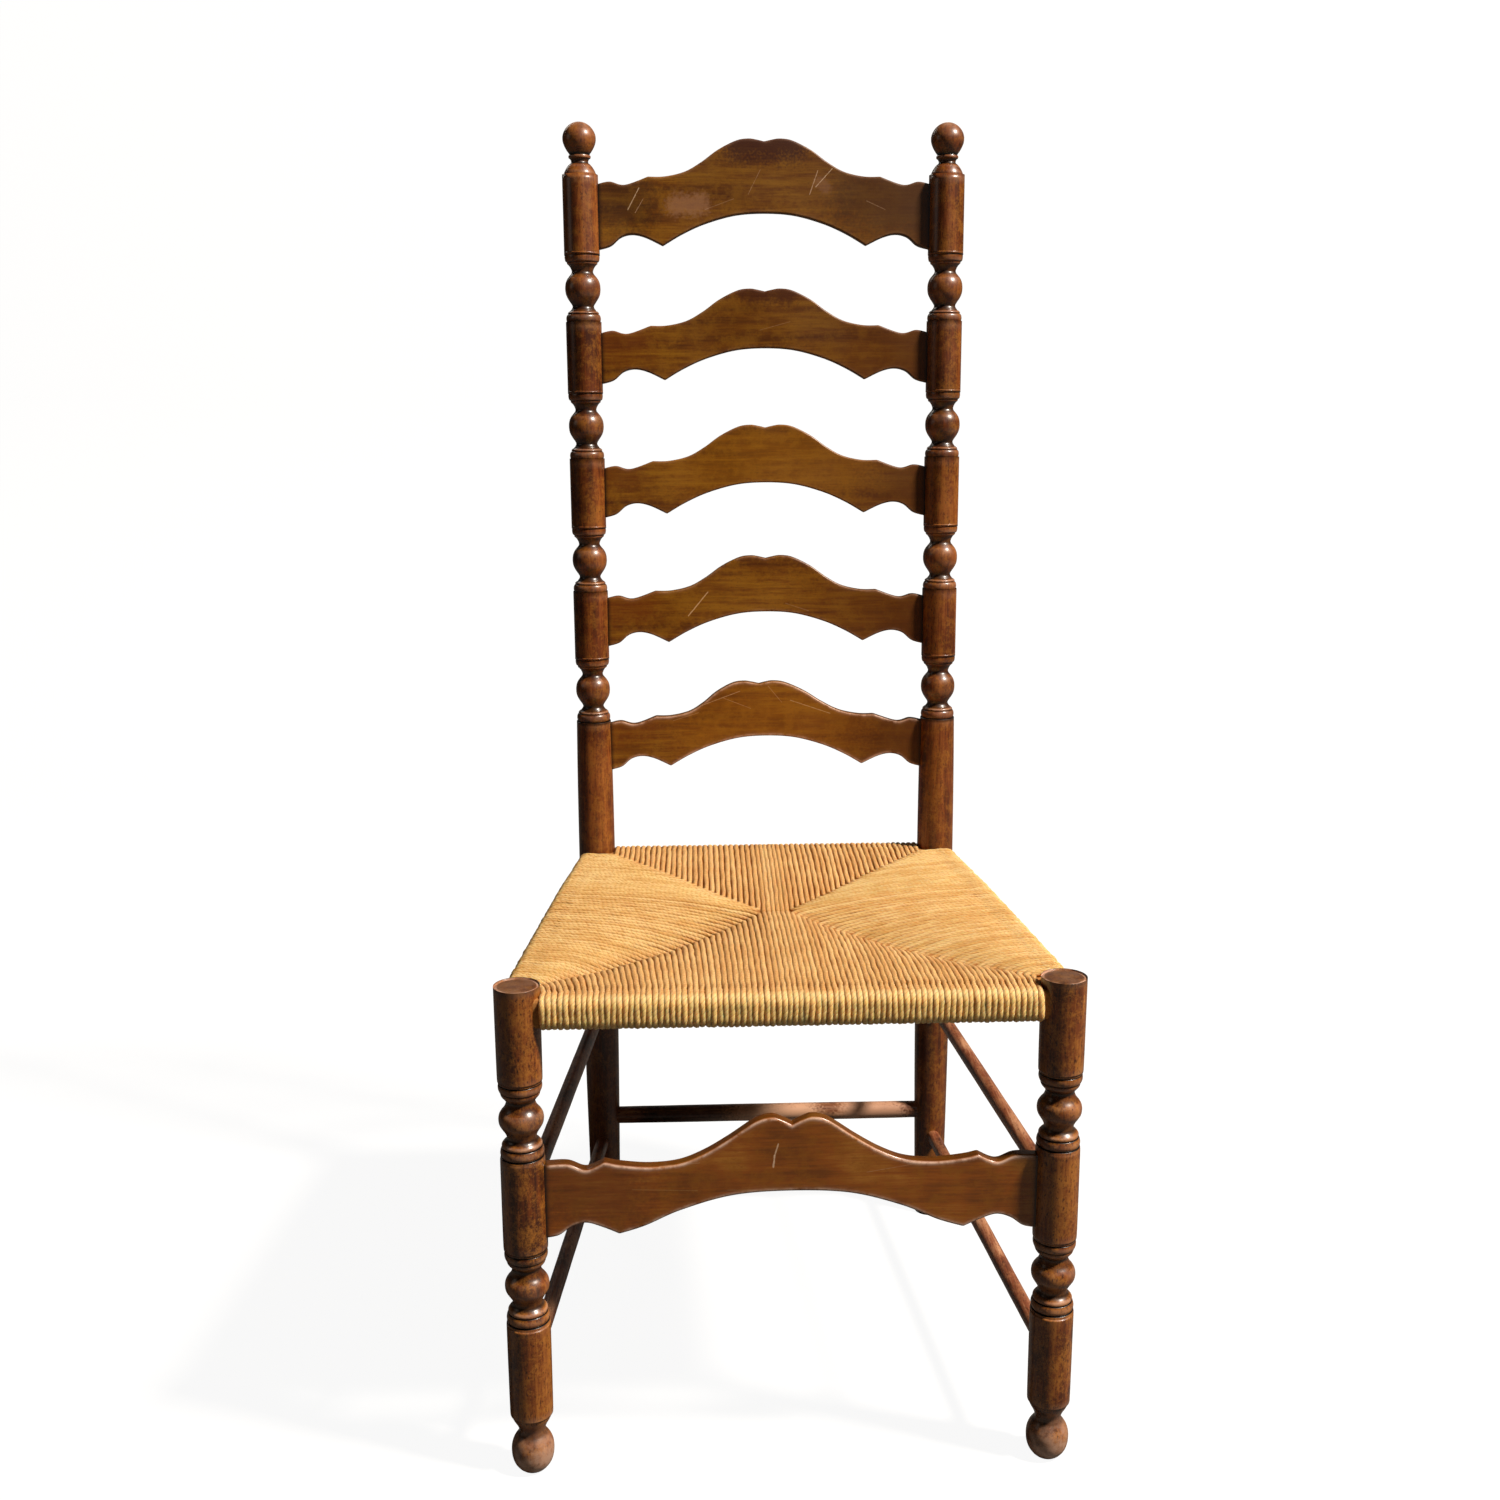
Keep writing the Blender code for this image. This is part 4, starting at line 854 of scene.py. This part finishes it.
def half_width(y):
    """From the middle gap out to the rush's edge."""
    return side_rail(y) + SEAT_EDGE / math.cos(math.atan(SIDE_SLOPE)) - HALF_GAP


def seam_place(share, at_front):
    """Plan point of a seam, from the crossing at share 0 out to the corner at share 1."""
    y = CROSSING + (-1 if at_front else 1) * seam_run(at_front) * share
    return HALF_GAP + half_width(y) * share, y


def seam_share_at(x, at_front, fan):
    """Share of the seam where a front or rear strand that leaves the rail at this x meets it."""
    low, high = 0.0, 1.0
    for _ in range(HALVINGS):
        middle = (low + high) / 2
        leaves = seam_place(middle, at_front)[0] - fan * between(LEFT_FAN, middle)
        low, high = (middle, high) if leaves < x else (low, middle)
    return low


def heights(inward, seam_inward, y, share, at_front):
    """Upper and lower surface of the rush, inward from a rail's middle line."""
    past, free = inward - RAIL_HALF_WIDTH, seam_inward - RAIL_HALF_WIDTH
    sink = min(past / free, 1.0) ** SAG_POWER if past > 0 and free > 0 else 0.0
    half = RAIL_HALF_HEIGHT + RUSH_LAYER
    drop = SEAM_DROP * between(FRONT_SEAM if at_front else REAR_SEAM, share)
    thick = SEAM_THICKNESS + (2 * half - SEAM_THICKNESS) * between(RIM_GROWTH, share)
    lift = max(2 * half - drop - thick, 0.0)
    return rail_line(y) + half - drop * sink, rail_line(y) - half + lift * sink


print("seam at share 0.5:", [tuple(round(v, 1) for v in seam_place(0.5, front)) for front in (True, False)])

# %% [markdown]
# A front or rear strand comes up from the seam, goes round its rail and back in, then turns the
# corner at the seam and does the same round the side rail. Only the few in the middle end at the
# crossing. Each point of a path also says which way is out, how thick the strand is there, which
# field it is in and how dark its gaps are, so that the finish can follow the weave.

# %% Paths of the strands
SPAN_STEP = 3.6
ARC_STEPS = 4
# Where a strand turns the corner at the seam, in mm along its side leg and its own leg.
MITRE_SIDE = {"left": 24.0, "right": 12.0}
MITRE_LIMIT = 0.6
MITRE_END = 5.0
MITRE_STEPS = 8
SIDE_TILT = 0.12
TUCK = 3.5
FRONT_PITCH = 4.6
REAR_PITCH = 5.5
FRONT_POST_EDGE = 18.2
REAR_POST_EDGE = 18.6
BRIDGE_STRANDS = 6
# How far ahead and how deep a middle strand dives at the crossing.
FREE_END = ((-2.6, 0.2), (-1.2, 1.0), (-0.2, 2.4), (0.4, 5.0))
WAVER = 0.7
WAVER_LENGTH = 22.0
WAVER_LIFT = 0.5
# Vector noise starts from the clock unless it has a seed, and the seat has to be the same each run.
WAVER_SEED = 1
noise.seed_set(WAVER_SEED)
# How dark the painted shade in the gaps is: lighter in the front and rear ones, deepest along the seams.
FRONT_GAPS = 0.35
REAR_GAPS = 0.45
SEAM_GAPS = 0.80
SIDE_GAPS = 0.50
SEAM_FADE = 20.0
TIP_GAPS = 0.12
LEAST_GAPS = 0.2
SEAM_PINCH = 0.16


def rail_leg(seam_inward, seam_cut, radius, cover, height_at):
    """(inward, height, outward direction) from the seam below, round the rail, to the seam above."""
    core = radius * (1 - PRESSED)
    corner = RAIL_EDGE + cover - core
    flat_in, flat_up = RAIL_HALF_WIDTH - RAIL_EDGE, RAIL_HALF_HEIGHT - RAIL_EDGE
    end = max(seam_inward - seam_cut, RAIL_HALF_WIDTH + 1)
    steps = max(round((end - RAIL_HALF_WIDTH) / SPAN_STEP), 1)
    span = [RAIL_HALF_WIDTH + (end - RAIL_HALF_WIDTH) * k / steps for k in range(steps + 1)]
    below = [(d, height_at(d)[1] + core, (0, -1)) for d in reversed(span)]
    above = [(d, height_at(d)[0] - core, (0, 1)) for d in span]
    lower = height_at(0)[1] + RUSH_LAYER - cover + core
    upper = height_at(0)[0] - RUSH_LAYER + cover - core
    middle = (lower + upper) / 2
    wrap = [(0.0, lower, (0, -1))]
    for centre_up, first in ((-flat_up, -90), (flat_up, -180)):
        for angle in [math.radians(first - 90 * k / ARC_STEPS) for k in range(ARC_STEPS + 1)]:
            out = (math.cos(angle), math.sin(angle))
            wrap.append((-flat_in + corner * out[0], middle + centre_up + corner * out[1], out))
        if centre_up < 0:
            wrap += [(-flat_in - corner, middle + flat_up * share, (-1, 0)) for share in (-0.5, 0.0, 0.5)]
    tuck = [(below[0][0] + 1.0, below[0][1] + TUCK, (0, -1))]
    return tuck + below + wrap + [(0.0, upper, (0, 1))] + above


def waver(point, seed):
    """A small hand-made wander that changes slowly along a strand."""
    spot = Vector(point) / WAVER_LENGTH + Vector((seed * 7.3, seed * 3.1, 0))
    shift = noise.noise_vector(spot) * WAVER
    return Vector((shift.x, shift.y, shift.z * WAVER_LIFT))


def end_strand(x, side_word, at_front, seed, free_end):
    """Front or rear leg at one x; it turns outwards at the seam unless its end is free.

    A path's points hold place, outward direction, radius, field (0 end, 1 side) and gap darkness.
    """
    fan = 1.0 if at_front and side_word == "left" else 0.0
    share = seam_share_at(x, at_front, fan)
    seam_x, seam_y = seam_place(share, at_front)
    rail_y, inwards = (0.0, 1) if at_front else (DEPTH, -1)
    seam_inward = abs(seam_y - rail_y)
    side = -1 if side_word == "left" else 1
    lean = fan * between(LEFT_FAN, share) / max(seam_inward, 1.0)

    def level(d):
        return heights(d, seam_inward, rail_y + inwards * d, share, at_front)

    path, own_gaps = [], FRONT_GAPS if at_front else REAR_GAPS
    for d, z, out in rail_leg(seam_inward, 0.0 if free_end else MITRE_END, STRAND, END_COVER, level):
        near = math.exp(-(seam_inward - d) / SEAM_FADE) if out[1] > 0 else 0.0
        point = (side * (x + lean * max(d, 0.0)), rail_y + inwards * d, z)
        gaps = own_gaps + (SEAM_GAPS - own_gaps) * near
        path.append((point, (0.0, inwards * out[0], out[1]), STRAND * (1 - SEAM_PINCH * near), 0.0, gaps))
    if free_end:
        x_end, y_end, z_end = path.pop()[0]
        return path + [((x_end, y_end + inwards * ahead, z_end - drop), (0, 0, 1), STRAND, 0.0, SEAM_GAPS)
                       for ahead, drop in FREE_END]
    side_inward = side_rail(seam_y) - seam_x

    def side_level(d):
        return heights(d, side_inward, seam_y, share, at_front)

    bend = min(MITRE_SIDE[side_word], MITRE_LIMIT * max(side_inward - RAIL_HALF_WIDTH, 2.0))
    for t in [k / MITRE_STEPS for k in range(1, MITRE_STEPS)]:
        grown = STRAND + (SIDE_STRAND - STRAND) * t
        past, short = bend * t * t, MITRE_END * (1 - t) ** 2
        z = side_level(side_inward - past)[0] - grown * (1 - PRESSED)
        point = (side * (seam_x + past), seam_y + SIDE_TILT * past - inwards * short, z)
        path.append((point, (0, 0, 1), grown, t, TIP_GAPS))
    for d, z, out in reversed(rail_leg(side_inward, bend, SIDE_STRAND, SIDE_COVER, side_level)):
        point = (side * (side_rail(seam_y) - d), seam_y + SIDE_TILT * (side_inward - max(d, 0.0)), z)
        gaps = SIDE_GAPS + (TIP_GAPS - SIDE_GAPS) * math.exp(-(side_inward - bend - d) / SEAM_FADE)
        path.append((point, (-side * out[0], 0.0, out[1]), SIDE_STRAND, 1.0, gaps * max(out[1], LEAST_GAPS)))
    return path


def field_strands(side_word, at_front):
    """Strands of one corner: from the post's inner face in to the crossing."""
    edge = side_rail(0.0) - FRONT_POST_EDGE if at_front else side_rail(DEPTH) - REAR_POST_EDGE
    count = round((edge - HALF_GAP) / (FRONT_PITCH if at_front else REAR_PITCH))
    width = (edge - HALF_GAP) / count
    return [end_strand(HALF_GAP + width * (k + 0.5), side_word, at_front, k, False) for k in range(count)]


def bridge_strands():
    """The few middle strands, which end at the crossing."""
    pitch = 2 * HALF_GAP / BRIDGE_STRANDS
    places = [(k, -HALF_GAP + pitch * (k + 0.5)) for k in range(BRIDGE_STRANDS)]
    return [end_strand(abs(x), "left" if x < 0 else "right", at_front, k, True)
            for at_front in (True, False) for k, x in places]


strand_groups = {"rush_%s_%s" % (end, side): field_strands(side, end == "front")
                 for end in ("front", "rear") for side in ("left", "right")}
strand_groups["rush_bridge"] = bridge_strands()
print({name: len(paths) for name, paths in strand_groups.items()})

# %% [markdown]
# A Geometry Nodes tree gives each path its body. The path becomes a curve, a ring with two soft
# lobes is swept along it, and the ring is turned as it goes, which makes the two plies of the
# twisted cord. The swept cord is then pressed flatter against its layer, which needs the place of
# its core, so the tree stores that first. It also writes for the finish how far round towards the
# gap to the next strand each point lies. A Bevel on the curve would be quicker, but keeps no marks.

# %% Twisted strand tree
STRAND_SIDES = 8
PLY_DEPTH = 0.09
TWIST_LENGTH = 60 * MM
# How much of its outward side a strand shows before the gap starts and where it is full, by field.
GAP_START = (0.80, 0.94)
GAP_FULL = (0.10, 0.45)


def strand_tree():
    tree = bpy.data.node_groups.new("twisted_strand", "GeometryNodeTree")
    ports = {}
    inputs = (("Geometry", "Geometry", None), ("Ply depth", "Float", PLY_DEPTH),
              ("Turns per metre", "Float", 1 / TWIST_LENGTH), ("Pressed flat", "Float", PRESSED),
              ("Sides", "Int", STRAND_SIDES), ("Finish", "Material", None))
    for label, kind, value in inputs:
        ports[label] = tree.interface.new_socket(name=label, in_out="INPUT", socket_type="NodeSocket" + kind)
        if value is not None:
            ports[label].default_value = value
    tree.interface.new_socket(name="Geometry", in_out="OUTPUT", socket_type="NodeSocketGeometry")
    given = put(tree, "NodeGroupInput").outputs
    place = put(tree, "GeometryNodeInputPosition")
    normal = put(tree, "GeometryNodeInputNormal")
    thick, tint, field, outward, core = [
        put(tree, "GeometryNodeInputNamedAttribute", {"Name": name}, data_type=kind)
        for name, kind in (("thick", "FLOAT"), ("tint", "FLOAT"), ("field", "FLOAT"),
                           ("outward", "FLOAT_VECTOR"), ("core", "FLOAT_VECTOR"))]

    curve = put(tree, "GeometryNodeMeshToCurve", {"Mesh": given["Geometry"]})
    along = put(tree, "GeometryNodeSplineParameter").outputs["Length"]
    for name, value, kind in (("along", along, "FLOAT"), ("core", place, "FLOAT_VECTOR")):
        curve = put(tree, "GeometryNodeStoreNamedAttribute",
                    {"Geometry": curve, "Name": name, "Value": value}, data_type=kind)
    turns = put(tree, "Math", [along, given["Turns per metre"], tint], operation="MULTIPLY_ADD")
    angle = put(tree, "Math", [turns, math.tau], operation="MULTIPLY")
    twisted = put(tree, "GeometryNodeSetCurveTilt", {"Curve": curve, "Tilt": angle})

    ring = put(tree, "GeometryNodeCurvePrimitiveCircle", {"Resolution": given["Sides"], "Radius": 1.0})
    ply = put(tree, "GeometryNodeStoreNamedAttribute", {"Geometry": ring, "Name": "ply", "Value": place},
              data_type="FLOAT_VECTOR")
    across = put(tree, "SeparateXYZ", [place])
    square = put(tree, "Math", [across, across], operation="MULTIPLY")
    lobe = put(tree, "Math", [square, 2.0, -1.0], operation="MULTIPLY_ADD")
    growth = put(tree, "Math", [lobe, given["Ply depth"], 1.0], operation="MULTIPLY_ADD")
    lobed = put(tree, "VectorMath", {0: place, "Scale": growth}, operation="SCALE")
    outline = put(tree, "GeometryNodeSetPosition", {"Geometry": ply, "Position": lobed})
    swept = put(tree, "GeometryNodeCurveToMesh", {"Curve": twisted, "Profile Curve": outline,
                                                  "Scale": thick, "Fill Caps": True})

    to_core = put(tree, "VectorMath", [core, place], operation="SUBTRACT")
    depth = put(tree, "VectorMath", [to_core, outward], operation="DOT_PRODUCT")
    push = put(tree, "Math", [depth, given["Pressed flat"]], operation="MULTIPLY")
    offset = put(tree, "VectorMath", {0: outward, "Scale": push}, operation="SCALE")
    pressed = put(tree, "GeometryNodeSetPosition", {"Geometry": swept, "Offset": offset})
    # The crevice mark tells the finish where to paint shade in the gaps between strands.
    facing = put(tree, "VectorMath", [normal, outward], operation="DOT_PRODUCT")
    start, full = [put(tree, "MapRange", {"Value": field, "To Min": ends, "To Max": sides})
                   for ends, sides in (GAP_START, GAP_FULL)]
    crevice = put(tree, "MapRange", {"Value": facing, "From Min": start, "From Max": full})
    marked = put(tree, "GeometryNodeStoreNamedAttribute",
                 {"Geometry": pressed, "Name": "crevice", "Value": crevice})
    smooth = put(tree, "GeometryNodeSetShadeSmooth", {"Geometry": marked})
    real = put(tree, "GeometryNodeRealizeInstances", [smooth])
    coloured = put(tree, "GeometryNodeSetMaterial", {"Geometry": real, "Material": given["Finish"]})
    put(tree, "NodeGroupOutput", [coloured])
    return tree, {label: port.identifier for label, port in ports.items()}


sweep_tree, sweep_ports = strand_tree()
print("tree nodes:", len(sweep_tree.nodes))

# %% [markdown]
# ## Rush finish
#
# The cord is twisted from dried rush leaf, a soft straw gold with darker and pinker lengths here
# and there. It has no lacquer, so it is dull, slightly fuzzy, and lets some light through. Three
# creases wind round each strand where the leaves lie side by side, darkened as painted shade.
# Painted shade turns the gaps between strands a warm brown, the upright face over the end rails is
# painted lighter as painted light, the front ridge is rubbed pale and carries a painted highlight,
# and the side fields are yellower.
# A pattern on Object coordinates would cut across the strands, so it follows each strand's own
# length and ring instead.

# %% Rush material
FIBRE_LENGTH = 6.0
# The veins of a real leaf are about 0.5 mm apart, drawn coarser here, so that they show.
LEAF_WIDTH = 1.1 * MM
PATCH_WIDTH = 38 * MM
STRAND_TINT = 0.24
PATCH_TINT = 0.5
END_TONES = [(0.55, "A87A46"), (0.85, "BC8E57"), (1.0, "C99E67")]
SIDE_TONES = [(0.55, "AE8548"), (0.80, "C09859"), (1.0, "CFAF76")]
PLIES = 3
PLY_MARK = 5.5 * MM
CREASE_WIDTH = 0.4
CREASE_SHADE = 0.55
CREASE_SHADE_BROWN = "B4702E"
FACE_PAINTED_LIGHT = "FFCA82"
RIDGE_WEAR_AND_HIGHLIGHT = "E6CE96"
RIDGE_SHARE = 0.42
GAP_SHADE_BROWN = "AE6629"


def rush_material():
    # Dried rush leaf, twisted by hand: dull, fibrous and a little translucent, with no two lengths alike.
    material, tree, shader = new_material("twisted_rush_leaf")
    along, tint, field, crevice, gap = [put(tree, "Attribute", attribute_name=name).outputs["Fac"]
                                        for name in ("along", "tint", "field", "crevice", "gap")]
    ply, outward = [put(tree, "Attribute", attribute_name=name).outputs["Vector"]
                    for name in ("ply", "outward")]
    ring = put(tree, "VectorMath", {0: ply, "Scale": STRAND * MM}, operation="SCALE")
    stretch = put(tree, "Math", [along, 1 / FIBRE_LENGTH], operation="MULTIPLY")
    own = put(tree, "CombineXYZ", {1: tint, 2: stretch})
    place = put(tree, "VectorMath", [ring, own], operation="ADD")
    fibre = put(tree, "TexNoise", {"Vector": place, "Scale": 1 / LEAF_WIDTH, "Detail": 4.0,
                                   "Roughness": 0.65})
    on_seat = put(tree, "TexCoord").outputs["Object"]
    cloud = put(tree, "TexNoise", {"Vector": on_seat, "Scale": 1 / PATCH_WIDTH, "Detail": 3.0})
    shade = put(tree, "Math", [tint, STRAND_TINT, fibre], operation="MULTIPLY_ADD")
    both = put(tree, "Math", [cloud, PATCH_TINT, shade], operation="MULTIPLY_ADD")
    end_tone, side_tone = [put(tree, "ValToRGB", {"Fac": both}, stops) for stops in (END_TONES, SIDE_TONES)]

    # The face wraps over the front and rear rails: 0 on top, 1 where it stands upright. It is painted
    # lighter, as painted light, and where it turns over the ridge it gets the pale ridge colour.
    up = put(tree, "SeparateXYZ", [outward]).outputs["Z"]
    level = put(tree, "Math", [up, up], operation="MULTIPLY")
    upright, end_field = [put(tree, "Math", [1.0, value], operation="SUBTRACT")
                          for value in (level, field)]
    face = put(tree, "Math", [upright, end_field], operation="MULTIPLY")
    both_ways = put(tree, "Math", [level, face], operation="MULTIPLY")
    # The ridge's pale colour is rubbed wear and a painted highlight.
    ridge_wear_and_highlight = put(tree, "Math", [both_ways, 4 * RIDGE_SHARE], operation="MULTIPLY")

    parts = put(tree, "SeparateXYZ", [ply]).outputs
    around = put(tree, "Math", [parts["Y"], parts["X"]], operation="ARCTAN2")
    plies = put(tree, "Math", [around, PLIES / 2], operation="MULTIPLY")
    turned = put(tree, "Math", [along, -math.pi / PLY_MARK, plies], operation="MULTIPLY_ADD")
    wave = put(tree, "Math", [turned], operation="SINE")
    rope = put(tree, "Math", [wave], operation="ABSOLUTE")
    # Painted shade along the three creases of the twist.
    crease = put(tree, "MapRange", {"Value": rope, "From Max": CREASE_WIDTH, "To Min": CREASE_SHADE,
                                    "To Max": 0.0})
    # Painted shade in the gaps between strands, strongest along the seams.
    gap_shade = put(tree, "Math", [crevice, gap], operation="MULTIPLY")
    colour = end_tone
    for cover, paint in ((field, side_tone), (face, FACE_PAINTED_LIGHT), (ridge_wear_and_highlight, RIDGE_WEAR_AND_HIGHLIGHT),
                         (crease, CREASE_SHADE_BROWN), (gap_shade, GAP_SHADE_BROWN)):
        colour = put(tree, "Mix", {0: cover, 6: colour, 7: paint}, data_type="RGBA")
    rough = put(tree, "Math", [rope, 0.9, fibre], operation="MULTIPLY_ADD")
    bump = put(tree, "Bump", {"Height": rough, "Strength": 0.7, "Distance": 0.5 * MM})
    feed(shader, {"Base Color": colour, "Normal": bump, "Roughness": 0.72, "Specular IOR Level": 0.3,
                  "Subsurface Weight": 0.8, "Subsurface Radius": (1.0, 0.7, 0.45),
                  "Subsurface Scale": 4.0 * MM})
    return material


rush_finish = rush_material()
print("rush finish nodes:", len(rush_finish.node_tree.nodes))

# %% [markdown]
# Now every path is woven. Each strand gets its own tint and thickness from a fixed rule, not from
# random draws, so the seat comes out the same each time. The tree's result is taken as one plain
# mesh for each field, so that nothing is held only by a modifier.

# %% Weave the seat
RANDOM_STRAND = 0.04
TINT_HASH = (12.9898, 43758.5453)
THICKNESS_HASH = (78.233, 12543.123)


def own_value(seed, numbers):
    """A fixed value from 0 to 1 for each strand: the small digits of a large sine."""
    pace, scale = numbers
    return (math.sin(seed * pace) * scale) % 1.0


def weave(name, paths, order):
    """Edges along every path, swept by the tree into one plain mesh."""
    verts, edges, columns = [], [], {"thick": [], "tint": [], "field": [], "gap": [], "outward": []}
    for number, path in enumerate(paths):
        seed = order * 100 + number
        tint = own_value(seed, TINT_HASH)
        swell = 1 + RANDOM_STRAND * (2 * own_value(seed, THICKNESS_HASH) - 1)
        edges += [(len(verts) + i, len(verts) + i + 1) for i in range(len(path) - 1)]
        for point, out, radius, field, gap in path:
            x, y, z = Vector(point) + waver(point, seed)
            verts.append((x * MM, FRONT_LINE + y * MM, z * MM))
            columns["thick"].append(radius * swell * MM)
            columns["tint"].append(tint)
            columns["field"].append(field)
            columns["gap"].append(gap)
            columns["outward"].extend(out)
    mesh = bpy.data.meshes.new(name + "_paths")
    mesh.from_pydata(verts, edges, [])
    for label, values in columns.items():
        kind, key = ("FLOAT_VECTOR", "vector") if label == "outward" else ("FLOAT", "value")
        mesh.attributes.new(label, kind, "POINT").data.foreach_set(key, values)
    guide = link(bpy.data.objects.new(name + "_paths", mesh))
    sweep = guide.modifiers.new("sweep", "NODES")
    sweep.node_group = sweep_tree
    sweep[sweep_ports["Finish"]] = rush_finish
    bpy.context.view_layer.update()
    woven = bpy.data.meshes.new_from_object(guide.evaluated_get(bpy.context.evaluated_depsgraph_get()))
    bpy.data.objects.remove(guide)
    woven.name = name
    return link(bpy.data.objects.new(name, woven))


rush = [weave(name, paths, order) for order, (name, paths) in enumerate(strand_groups.items())]
for piece in rush:
    dress(piece, "rush_seat")
print({piece.name: sum(len(p.vertices) - 2 for p in piece.data.polygons) for piece in rush})

# %% [markdown]
# Between the upper and the lower layer the weaver packs loose rush. It shows only as a dark floor
# between the strands, so it is one closed pad that follows the same fields a little deeper.

# %% Packing
PACK_RINGS = 14
PACK_INSET = 3.2
PACK_CHAMFER = 3.4
RIM_SHARE = 0.982


def pack_share(ring):
    """Share of the way from the crossing out; the last two rings are close together."""
    return 1.0 if ring == PACK_RINGS else RIM_SHARE if ring == PACK_RINGS - 1 else ring / PACK_RINGS


def pack_point(column, row, upper):
    """One point of the pad, in metres, on its upper or its lower face."""
    across = pack_share(max(PACK_RINGS - column, column - PACK_RINGS - 1))
    along = pack_share(abs(row - PACK_RINGS))
    at_front = row < PACK_RINGS
    y = seam_place(along, at_front)[1]
    near, far = sorted((across, along))
    whole = half_width(y) if across > along else seam_run(at_front)
    inward, seam_inward = whole * (1 - far) - SEAT_EDGE, whole * (1 - near) - SEAT_EDGE
    inset = PACK_INSET + (PACK_CHAMFER if far == 1.0 else 0.0)
    top, bottom = heights(inward, seam_inward, y, near, at_front)
    z = top - inset if upper else bottom + inset
    x = HALF_GAP + half_width(y) * across - (PACK_INSET if across == 1.0 else 0.0)
    if along == 1.0:
        y += PACK_INSET if at_front else -PACK_INSET
    return (-x if column <= PACK_RINGS else x) * MM, FRONT_LINE + y * MM, z * MM


def packing():
    columns, rows = 2 * PACK_RINGS + 2, 2 * PACK_RINGS + 1
    verts = [pack_point(column, row, upper)
             for upper in (True, False) for row in range(rows) for column in range(columns)]
    faces, size = [], columns * rows
    for row in range(rows - 1):
        for column in range(columns - 1):
            a = row * columns + column
            faces.append((a, a + 1, a + 1 + columns, a + columns))
            faces.append((a + size, a + columns + size, a + 1 + columns + size, a + 1 + size))
    rim = [(0, c) for c in range(columns)] + [(r, columns - 1) for r in range(1, rows)]
    rim += [(rows - 1, c) for c in range(columns - 2, -1, -1)] + [(r, 0) for r in range(rows - 2, 0, -1)]
    loop = [r * columns + c for r, c in rim]
    faces += [(a, b, b + size, a + size) for a, b in zip(loop, loop[1:] + loop[:1])]
    return new_mesh("rush_packing", verts, faces)


# Loose broken rush: dull and crumbly, seen only as a warm brown floor in the gaps.
packing_finish, tree, shader = new_material("packed_rush_waste")
place = put(tree, "TexCoord").outputs["Object"]
crumbs = put(tree, "TexNoise", {"Vector": place, "Scale": 1 / (2 * MM), "Detail": 4.0})
tone = put(tree, "ValToRGB", {"Fac": crumbs}, [(0.3, "8A5420"), (0.7, "B87C3A")])
feed(shader, {"Base Color": tone, "Roughness": 0.9})
pack = packing()
dress(pack, "rush_seat", packing_finish)
print("packing faces:", len(pack.data.polygons))
